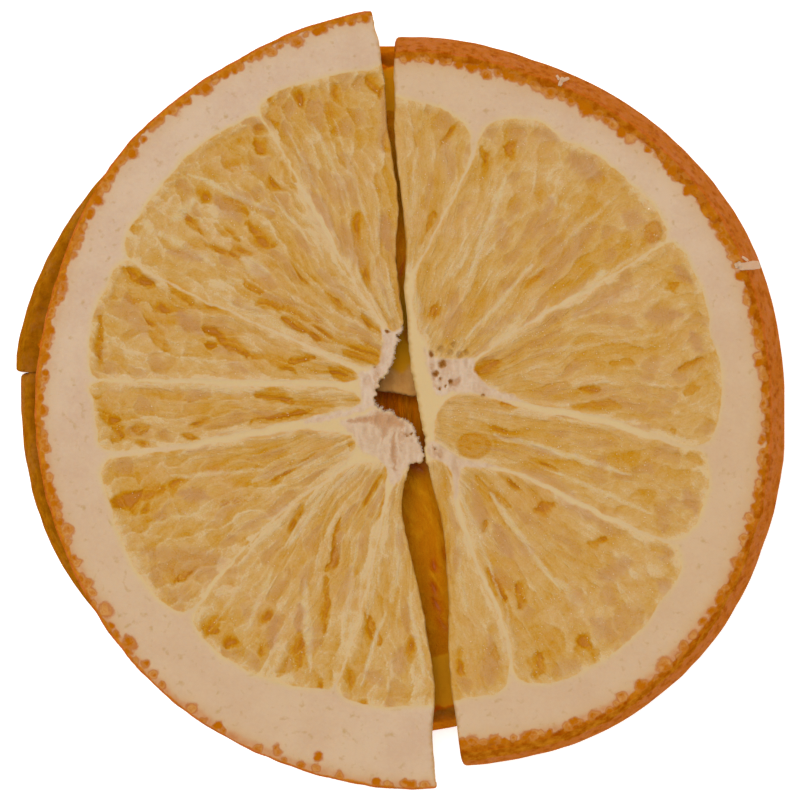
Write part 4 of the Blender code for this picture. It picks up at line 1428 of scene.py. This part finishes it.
FLESH_RAMP = [
    (0.0, (182, 110, 0)), (0.12, (190, 121, 0)), (0.24, (195, 130, 6)), (0.34, (197, 138, 32)),
    (0.43, (198, 143, 51)), (0.53, (200, 149, 67)), (0.63, (202, 154, 79)), (0.75, (204, 160, 92)),
    (0.88, (207, 167, 107)), (1.0, (211, 178, 128)),
]


def ramped(tree, value, stops):
    """A colour read off a ramp of named places and everyday colours."""
    ramp_node = node(tree, "ShaderNodeValToRGB", {"Fac": value})
    elements = ramp_node.color_ramp.elements
    while len(elements) < len(stops):
        elements.new(0.5)
    for element, (position, everyday) in zip(elements, stops):
        element.position = position
        element.color = light_colour(*everyday)
    return ramp_node.outputs[0]


# %% Layers of the finish
def blend_named(tree, mask, below, above):
    """Like blend_colour, with palette names allowed for either colour."""
    pick = [light_colour(*PALETTE[c]) if isinstance(c, str) else c for c in (below, above)]
    return blend_colour(tree, mask, *pick)


def times(tree, *factors):
    """The product of several values."""
    product = factors[0]
    for factor in factors[1:]:
        product = sum_up(tree, "MULTIPLY", product, factor)
    return product


def edge(tree, field, wobble, amount, low, high):
    """0 below low and 1 above high, the border roughened by a wobble. Where the field is 0 it stays 0."""
    rough = sum_up(tree, "MULTIPLY_ADD", sum_up(tree, "SUBTRACT", wobble, 0.5), amount, field)
    return times(tree, stretched(tree, rough, low, high), stretched(tree, field, 0.0, 0.12))


def pith_colour(tree, crumb):
    """Pith with its blotches and specks, its membranes, and the frayed and torn core with its pits."""
    frayed = stored(tree, "frayed")
    mottled = edge(tree, crumb["Blotches"], crumb["Crumb"], 0.6, 0.25, 0.65)
    pith = blend_named(tree, mottled, "pith_shadow", "pith")
    pith = blend_named(tree, stored(tree, "warmth"), pith, "pith_warm")
    pith = blend_named(tree, times(tree, crumb["Specks"], 0.75), pith, "speck")
    pith = blend_named(tree, times(tree, stored(tree, "rim"), crumb["Blotches"], 1.5), pith, "rim")
    pith = blend_named(tree, stored(tree, "membrane"), pith, "membrane")
    white = blend_named(tree, edge(tree, frayed, crumb["Crumb"], -0.6, 0.85, 0.35), "core_crack", "core")
    white = blend_named(tree, times(tree, stored(tree, "warmth"), 0.8), white, "pith_warm")
    torn = blend_named(tree, crumb["Grit"], "torn_crack", "torn")
    pith = blend_colour(tree, edge(tree, stored(tree, "core"), crumb["Grit"], 1.0, 0.25, 0.75), pith, white)
    pith = blend_colour(tree, edge(tree, stored(tree, "torn"), crumb["Grit"], 1.3, 0.20, 0.95), pith, torn)
    # Pits: orange-brown at the rim, darker at the middle, partly painted shade in the pit.
    pit = stored(tree, "hole")
    pith = blend_named(tree, edge(tree, pit, crumb["Grit"], 0.7, 0.25, 0.60), pith, "hole_rim")
    return blend_named(tree, edge(tree, pit, crumb["Grit"], 0.5, 0.55, 1.00), pith, "hole")


def flesh_colour(tree, streaks, crumb):
    """Flesh by its tone, from amber hollows to pale ridges, with folded skins and bruised, grainy sacs."""
    tone = stored(tree, "tone")
    for value, strength in ((streaks["Streaks"], 0.36), (streaks["Threads"], 0.08), (crumb["Grit"], 0.54)):
        tone = sum_up(tree, "MULTIPLY_ADD", sum_up(tree, "SUBTRACT", value, 0.5), strength, tone)
    tone = sum_up(tree, "MULTIPLY_ADD", times(tree, streaks["Skins"], streaks["Streaks"]), 0.10, tone)
    flesh = ramped(tree, tone, FLESH_RAMP)
    folded = stored(tree, "pale")
    flesh = blend_named(tree, edge(tree, folded, streaks["Streaks"], 1.1, 0.30, 1.15), flesh, "pale")
    flesh = blend_named(tree, edge(tree, folded, streaks["Threads"], 0.6, 0.75, 1.30), flesh, "pale_ridge")
    flecks = times(tree, edge(tree, crumb["Crumb"], crumb["Grit"], 1.2, 0.42, 0.72), folded, 0.5)
    flesh = blend_named(tree, flecks, flesh, "pith")
    whole = sum_up(tree, "SUBTRACT", 1.0, stored(tree, "amber"))
    haze = edge(tree, crumb["Blotches"], crumb["Crumb"], 1.1, 0.48, 0.80)
    flesh = blend_named(tree, times(tree, haze, whole, 0.27), flesh, "tan")
    bruised = blend_named(tree, crumb["Grit"], "tan_grain", "tan")
    bruise = edge(tree, stored(tree, "tan"), crumb["Grit"], 1.3, 0.15, 1.15)
    return blend_colour(tree, times(tree, bruise, whole, 0.72), flesh, bruised)


def peel_colour(tree, surface, crumb, pores):
    """The surface with blushed pith, glands, the peel's coloured band and its outer skin laid over it."""
    mottle = pores["Mottle"]
    blushed = blend_named(tree, mottle, "blush_spot", "blush")
    surface = blend_colour(tree, times(tree, stored(tree, "blush"), 0.9), surface, blushed)
    gland = stored(tree, "gland")
    peel_tone = stored(tree, "peel_tone")
    ripeness = sum_up(tree, "MULTIPLY_ADD", stored(tree, "gland_tone"), 0.6, gland)
    ripeness = sum_up(tree, "MULTIPLY_ADD", stored(tree, "blush"), -0.15, ripeness)
    bead = blend_named(tree, edge(tree, ripeness, mottle, 0.8, 0.68, 1.30), "gland_pale", "gland")
    halo = edge(tree, gland, mottle, 0.3, 0.04, 0.34)
    surface = blend_named(tree, times(tree, halo, 0.4), surface, "blush")
    ring = edge(tree, gland, mottle, 0.45, 0.24, 0.60)
    surface = blend_named(tree, times(tree, ring, 0.8), surface, "gland_ring")
    surface = blend_colour(tree, edge(tree, gland, mottle, 0.55, 0.50, 0.80), surface, bead)
    rind = blend_named(tree, sum_up(tree, "ADD", mottle, peel_tone), "peel_deep", "peel_light")
    rind = blend_colour(tree, times(tree, edge(tree, gland, mottle, 0.7, 0.55, 1.05), 0.8), rind, bead)
    surface = blend_colour(tree, edge(tree, stored(tree, "peel"), mottle, 0.6, 0.25, 0.70), surface, rind)
    skin = blend_named(tree, edge(tree, pores["Pits"], mottle, 1.2, -0.10, 0.90), "skin_pit", "skin")
    bloom = edge(tree, crumb["Blotches"], mottle, 0.8, 0.35, 0.95)
    skin = blend_named(tree, times(tree, bloom, 0.45), skin, "skin_bloom")
    outer = edge(tree, stored(tree, "outer_peel"), mottle, 0.8, 0.25, 0.75)
    return blend_colour(tree, outer, surface, skin)


def shaded_rind_colour(tree, crumb, pores):
    """The peel of a lower half-slice as painted shade, amber-brown and mottled with a bloom in places, and
    lighter as painted light in the slit.
    """
    rind = blend_named(tree, pores["Mottle"], "shaded_rind_deep", "shaded_rind")
    bloom = edge(tree, crumb["Blotches"], crumb["Crumb"], 0.5, 0.52, 0.72)
    rind = blend_named(tree, times(tree, bloom, 0.30), rind, "shaded_rind_bloom")
    aired = blend_named(tree, pores["Mottle"], "aired_rind_deep", "aired_rind")
    return blend_colour(tree, stored(tree, "aired"), rind, aired)


# %% Dried orange
# Painted shade over the lower half-slices, and a lighter tint for the painted light in the slit.
UNDER_SHADE_TINT = (1.10, 0.68, 0.030, 1.0)
SLIT_LIGHT_TINT = (1.85, 1.12, 0.034, 1.0)
# Painted warm shade along the top edges and cut flanks of the upper halves.
EDGE_SHADE_TINT = (1.04, 0.84, 0.42, 1.0)
EDGE_SHADE_STRENGTH = 0.75
AMBER_GLOSS = 0.15
PITH_ROUGHNESS = 0.86


def dried_orange(name):
    """The finish of a half-slice, from the values stored on its mesh."""
    material, tree, shader = new_finish(name)
    flow = node(tree, "ShaderNodeAttribute", attribute_name="sac_flow").outputs["Vector"]
    streaks = place(tree, EFFECTS["streaks"], {"Flow": flow, "Across": 2.0, "Along": 1.5})
    crumb = place(tree, EFFECTS["crumb"], {"Grains per metre": 2600.0})
    outer = stored(tree, "outer_peel")
    soft_flesh = stored(tree, "flesh")
    streaked = stored(tree, "streaked")
    flesh = edge(tree, soft_flesh, crumb["Crumb"], 0.8, 0.2, 0.8)
    pores = place(tree, EFFECTS["pores"], {"Pores per metre": 1300.0})

    surface = blend_colour(tree, flesh, pith_colour(tree, crumb), flesh_colour(tree, streaks, crumb))
    surface = peel_colour(tree, surface, crumb, pores)
    # Painted warm shade along the top edges and cut flanks of the upper halves.
    edge_shade = times(tree, stored(tree, "edge_shade"), EDGE_SHADE_STRENGTH)
    surface = blend_colour(tree, edge_shade, surface, EDGE_SHADE_TINT, way="MULTIPLY")
    # Painted shade over the lower halves, lightened as painted light where the slit lets light in.
    under_shade = stored(tree, "under_shade")
    tint = blend_colour(tree, stored(tree, "aired"), UNDER_SHADE_TINT, SLIT_LIGHT_TINT)
    surface = blend_colour(tree, under_shade, surface, tint, way="MULTIPLY")
    # Where the lower halves' peel shows, its colour is swapped for the shaded copy: painted shade.
    under = times(tree, under_shade, edge(tree, stored(tree, "peel"), pores["Mottle"], 0.6, 0.3, 0.7))
    finished = blend_colour(tree, under, surface, shaded_rind_colour(tree, crumb, pores))
    feed(tree, shader.inputs["Base Color"], finished)

    roughness = PITH_ROUGHNESS
    for where, value in ((flesh, 0.58), (outer, 0.85), (stored(tree, "amber"), 0.48)):
        roughness = node(tree, "ShaderNodeMix", {0: where, 2: roughness, 3: value}).outputs[0]
    feed(tree, shader.inputs["Roughness"], roughness)

    relief = times(tree, crumb["Crumb"], 0.04)
    for strength, value, where in (
        (0.03, streaks["Threads"], streaked), (0.07, streaks["Streaks"], streaked),
        (0.03, streaks["Skins"], streaked), (0.05, crumb["Grit"], soft_flesh),
        (0.08, crumb["Grit"], stored(tree, "tan")), (0.10, crumb["Crumb"], stored(tree, "core")),
        (0.06, pores["Pits"], outer), (0.06, pores["Mottle"], stored(tree, "peel")),
    ):
        uneven = sum_up(tree, "SUBTRACT", value, 0.5)
        relief = sum_up(tree, "ADD", relief, times(tree, uneven, where, strength))
    bump = node(tree, "ShaderNodeBump", {"Strength": 1.0, "Distance": MM, "Height": relief})
    feed(tree, shader.inputs["Normal"], bump.outputs[0])
    feed(tree, shader.inputs["Coat Weight"], times(tree, stored(tree, "amber"), flesh, AMBER_GLOSS))
    set_plain(shader.inputs, {
        "Subsurface Weight": 0.22, "Subsurface Radius": (1.0, 0.5, 0.2), "Subsurface Scale": 0.9 * MM,
        "Specular IOR Level": 0.0, "Coat Roughness": 0.35,
    })
    return material


finish = dried_orange("dried_orange")
for half in HALVES:
    piece = dried_halves[half["node"]]
    piece.data.materials.append(finish)
    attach(piece, "root")
    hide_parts(half["node"])
print("finish:", finish.name)

# %% [markdown]
# ## Loose fibres
#
# When the core dried its skin tore, and short fibres stand out of it. They could be bump in the material,
# but a fibre that stands over a hollow casts a shadow on it, so each one is a small tapered tube with
# closed ends. All of them are one mesh.

# %% Strands
STRAND_SIDES = 6
STRAND_FLATNESS = 0.6


def strand_shell(line, radii):
    """Points and faces of one tapered tube along a line, closed at both ends."""
    ahead = np.gradient(line, axis=0)
    ahead /= np.linalg.norm(ahead, axis=1)[:, None]
    side = np.cross(ahead, [0.0, 0.0, 1.0])
    side /= np.maximum(np.linalg.norm(side, axis=1), 1e-9)[:, None]
    up = np.cross(side, ahead)
    turn = 2 * np.pi * np.arange(STRAND_SIDES) / STRAND_SIDES
    ring = side[:, None] * np.cos(turn)[None, :, None]
    ring = ring + STRAND_FLATNESS * up[:, None] * np.sin(turn)[None, :, None]
    points = (line[:, None] + ring * radii[:, None, None]).reshape(-1, 3)
    faces = []
    for i in range(len(line) - 1):
        for k in range(STRAND_SIDES):
            a, b = i * STRAND_SIDES + k, i * STRAND_SIDES + (k + 1) % STRAND_SIDES
            faces.append((b, a, a + STRAND_SIDES, b + STRAND_SIDES))
    last = (len(line) - 1) * STRAND_SIDES
    faces.append(tuple(range(STRAND_SIDES)))
    faces.append(tuple(last + k for k in reversed(range(STRAND_SIDES))))
    return points, faces


def joined_mesh(name, shells, half=UPPER_LEFT):
    """One object on a half-slice, from small closed shells given by points in millimetres and faces."""
    points, faces, base = [], [], 0
    for shell_points, shell_faces in shells:
        points.append(shell_points)
        faces += [tuple(base + index for index in face) for face in shell_faces]
        base += len(shell_points)
    mesh = bpy.data.meshes.new(name)
    mesh.from_pydata(keep_in_box(np.vstack(points) * MM, half["node"]).tolist(), [], faces)
    mesh.shade_smooth()
    obj = bpy.data.objects.new(name, mesh)
    bpy.context.scene.collection.objects.link(obj)
    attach(obj, "root")
    print(f"{name}: {len(shells)} shells, {len(faces)} faces, {open_edges(mesh)} open edges")
    return obj


def on_top(plan, half, lift):
    """Plan points raised to the surface of a half-slice, plus a lift."""
    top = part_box(half["node"])[1].z / MM
    return np.column_stack([plan, top - np.maximum(slice_map(plan, half)["level"], 0) + lift])


# %% [markdown]
# ### Fibres of the torn core
#
# The torn skin at the core of the left half ends in short fibres that point into the gap. They spring from
# the core's own outline, so the places are measured along it.

# %% Core fibres
FRAYED_EDGES = [((2.3, -5.0), (-0.4, -1.1), 0.20, 90), ((-0.4, -1.1), (-2.2, 0.3), 0.30, 70),
                ((-2.1, 1.2), (0.45, 7.3), 0.18, 90)]


def core_fibres(half, start, end, longest, count, chance):
    """Short tapered fibres that spring from a half-slice's rim, between its points nearest two places."""
    shells = []
    rim, _, outward, _ = outlines(half)
    first, last = (np.argmin(np.hypot(*(rim - place_on).T)) for place_on in (start, end))
    for index in chance.integers(first, last, count):
        direction = outward[index] + chance.normal(0, 0.5, 2)
        direction /= np.hypot(*direction)
        length = longest * chance.uniform(0.4, 1.0)
        step = np.linspace(-0.5, 1.0, 9)
        curl = chance.normal(0, 0.35) * step**2
        plan = rim[index] - 0.05 * outward[index] + length * (
            step[:, None] * direction + curl[:, None] * direction[::-1] * [-1, 1]
        )
        line = on_top(plan, half, 0.0)
        line[:, 2] = line[:3, 2].mean() - 0.08 - 0.20 * np.maximum(step, 0) ** 2 * chance.uniform(0, 1)
        radii = chance.uniform(0.020, 0.042) * (1.05 - np.clip(step, 0, 1)) + 0.005
        shells.append(strand_shell(line, radii))
    return shells


chance = np.random.default_rng(20)
fibre_shells = []
for start, end, longest, count in FRAYED_EDGES:
    fibre_shells += core_fibres(UPPER_LEFT, start, end, longest, count, chance)
fibres = joined_mesh("frayed_core_fibres", fibre_shells)

# %% [markdown]
# ## Dried sugar and flakes of pith
#
# Juice that dried on the surface left grains of sugar, a tenth of a millimetre across. They are tiny
# faceted stones, half sunk in the flesh, and they glint. A few flakes of pith stuck to the peel of the
# right half when it was cut.

# %% Sugar grains
GRAIN_SIZE = (0.040, 0.090)
UPPER_GRAINS = (
    (UPPER_LEFT, 420, (-29.0, -29.0), (2.0, 31.5)), (UPPER_RIGHT, 900, (0.0, -28.0), (31.0, 29.0)),
)
GRAIN_FACES = [(0, 2, 4), (2, 1, 4), (1, 3, 4), (3, 0, 4), (2, 0, 5), (1, 2, 5), (3, 1, 5), (0, 3, 5)]


def sugar_grains(half, count, low, high, chance):
    """Small eight-sided stones strewn over the flesh between two corners."""
    plan = chance.uniform(low, high, (count * 5, 2))
    clumped = layered_noise(plan[:, 0] / 4, plan[:, 1] / 4, half["seed"] + 91) > -0.15
    on_flesh = shape_depth(plan, half["segments"]) > 0.3
    plan = plan[clumped & on_flesh & (depth_inside(plan, outlines(half)[0]) > 0.4)][:count]
    centres = on_top(plan, half, 0.01)
    shells = []
    for centre in centres:
        stone = np.vstack([np.diag([1, 1, 1]), -np.diag([1, 1, 1])])[[0, 3, 1, 4, 2, 5]]
        turned, _ = np.linalg.qr(chance.normal(size=(3, 3)))
        turned *= np.sign(np.linalg.det(turned))
        stone = (stone * chance.uniform(*GRAIN_SIZE, 3)) @ turned.T
        shells.append((centre + stone, GRAIN_FACES))
    return shells


def strewn(name, areas, chance):
    """One piece with all the grains of some areas."""
    shells = [shell for area in areas for shell in sugar_grains(*area, chance)]
    piece = joined_mesh(name, shells, areas[0][0])
    piece.data.shade_flat()
    return piece


grains = strewn("dried_sugar_grains", UPPER_GRAINS, chance)

# %% Pith flakes
FLAKES = [
    ((33.3, 12.85, 10.12), (1.05, 0.4, 0.1), 6, 5), ((32.9, 13.5, 10.08), (0.36, 0.13, 0.07), -35, 10),
    ((32.2, 12.9, 10.1), (0.34, 0.3, 0.06), 20, 4), ((15.4, 30.35, 10.1), (0.5, 0.2, 0.07), 66, 16),
    ((15.8, 30.55, 10.05), (0.4, 0.16, 0.06), 20, 20), ((15.1, 30.75, 10), (0.3, 0.12, 0.06), 118, 30),
]


def pith_flake(centre, half_sizes, turn, dip):
    """A thin uneven chip, turned in plan and dipped outward, as points and faces."""
    chip = bmesh.new()
    bmesh.ops.create_icosphere(chip, subdivisions=4, radius=1.0)
    points = np.array([tuple(vertex.co) for vertex in chip.verts])
    faces = [tuple(vertex.index for vertex in face.verts) for face in chip.faces]
    chip.free()
    points = np.sign(points) * np.abs(points) ** 0.45
    torn_edge = layered_noise(points[:, 0] * 3 + centre[0], points[:, 1] * 3 + centre[1], 95)
    points[:, :2] *= 1 + 0.26 * torn_edge[:, None]
    points[:, 2] += 0.3 * layered_noise(points[:, 0] * 2 + centre[1], points[:, 1] * 2, 96)
    points = points * np.array(half_sizes)
    dip, turn = math.radians(dip), math.radians(turn)
    tilt = np.array([[math.cos(dip), 0, math.sin(dip)], [0, 1, 0], [-math.sin(dip), 0, math.cos(dip)]])
    spin = np.array([[math.cos(turn), -math.sin(turn), 0], [math.sin(turn), math.cos(turn), 0], [0, 0, 1]])
    return points @ tilt.T @ spin.T + np.array(centre), faces


flakes = joined_mesh("pith_flakes", [pith_flake(*flake) for flake in FLAKES])

# %% [markdown]
# ## Finishes of the small pieces
#
# Fibres and flakes are bare dry skin: pale, matt and crumbly. Sugar is pale gold and glossy.

# %% Skin and sugar
def dry_skin(name, pale, shadow):
    """Bare dry skin, crumbly and a little uneven."""
    material, tree, shader = new_finish(name)
    crumb = place(tree, EFFECTS["crumb"], {"Grains per metre": 3200.0})
    feed(tree, shader.inputs["Base Color"], blend_named(tree, crumb["Crumb"], shadow, pale))
    relief = times(tree, crumb["Grit"], 0.04)
    bump = node(tree, "ShaderNodeBump", {"Strength": 1.0, "Distance": MM, "Height": relief})
    feed(tree, shader.inputs["Normal"], bump.outputs[0])
    set_plain(shader.inputs, {
        "Roughness": 0.85, "Specular IOR Level": 0.06, "Subsurface Weight": 0.3,
        "Subsurface Radius": (1.0, 0.6, 0.35), "Subsurface Scale": 0.5 * MM,
    })
    return material


def dried_sugar(name):
    """Pale gold sugar, glossy."""
    material, tree, shader = new_finish(name)
    crumb = place(tree, EFFECTS["crumb"], {"Grains per metre": 900.0})
    colour = blend_colour(tree, crumb["Crumb"], light_colour(206, 160, 98), light_colour(236, 206, 168))
    feed(tree, shader.inputs["Base Color"], colour)
    set_plain(shader.inputs, {"Roughness": 0.12, "Specular IOR Level": 0.6})
    return material


fibres.data.materials.append(dry_skin("core_skin", "core", "torn"))
flakes.data.materials.append(dry_skin("flake_skin", "pith_shadow", "torn"))
grains.data.materials.append(dried_sugar("dried_sugar"))

# %% [markdown]
# ## Floor, light and camera
#
# A plain pale floor and broad soft light, as on a studio table. Even light from all round fills the
# hollows, and one wide lamp, nearly overhead, a little to the left and to the back, reaches into the gaps
# and gives the relief its shading. The paper glows faintly, as on a light table, which keeps the shadow
# round the stack thin. The camera looks straight down through a long lens, so that near and far parts of
# the stack keep their true sizes.

# %% Floor
WHITE = (1.0, 1.0, 1.0, 1.0)
PAPER_GLOW = 0.5
bpy.ops.mesh.primitive_plane_add(size=4.0, location=(0, 0, -0.0002))
floor = bpy.context.object
floor.name = "studio_floor"
floor_finish, _, floor_shader = new_finish("pale_paper")
set_plain(floor_shader.inputs, {
    "Base Color": (0.95, 0.95, 0.945, 1.0), "Roughness": 0.9, "Emission Color": WHITE,
    "Emission Strength": PAPER_GLOW,
})
floor.data.materials.append(floor_finish)

# %% Light
ROOM_LIGHT = 0.62
LAMP_POWER = 2.05
LAMP_WIDTH = math.radians(32)
LAMP_LEAN = (math.radians(-7), math.radians(-6), 0)
world = bpy.data.worlds.new("studio")
world.use_nodes = True
set_plain(world.node_tree.nodes["Background"].inputs, {"Color": WHITE, "Strength": ROOM_LIGHT})
bpy.context.scene.world = world

lamp = bpy.data.objects.new("wide_lamp", bpy.data.lights.new("wide_lamp", "SUN"))
lamp.data.energy = LAMP_POWER
lamp.data.angle = LAMP_WIDTH
lamp.rotation_euler = LAMP_LEAN
bpy.context.scene.collection.objects.link(lamp)

# %% Camera
CAMERA_HEIGHT = 2.0
PICTURE_WIDTH = 76.0 * MM
PICTURE_CENTRE = (0.095 * MM, 0.095 * MM)
camera = bpy.data.objects.new("camera", bpy.data.cameras.new("camera"))
stack_top = cad_box[1].z
camera.location = (*PICTURE_CENTRE, stack_top + CAMERA_HEIGHT)
camera.data.lens = camera.data.sensor_width * CAMERA_HEIGHT / PICTURE_WIDTH
camera.data.clip_end = 10.0
bpy.context.scene.collection.objects.link(camera)
bpy.context.scene.camera = camera
bpy.context.scene.view_settings.view_transform = "Standard"
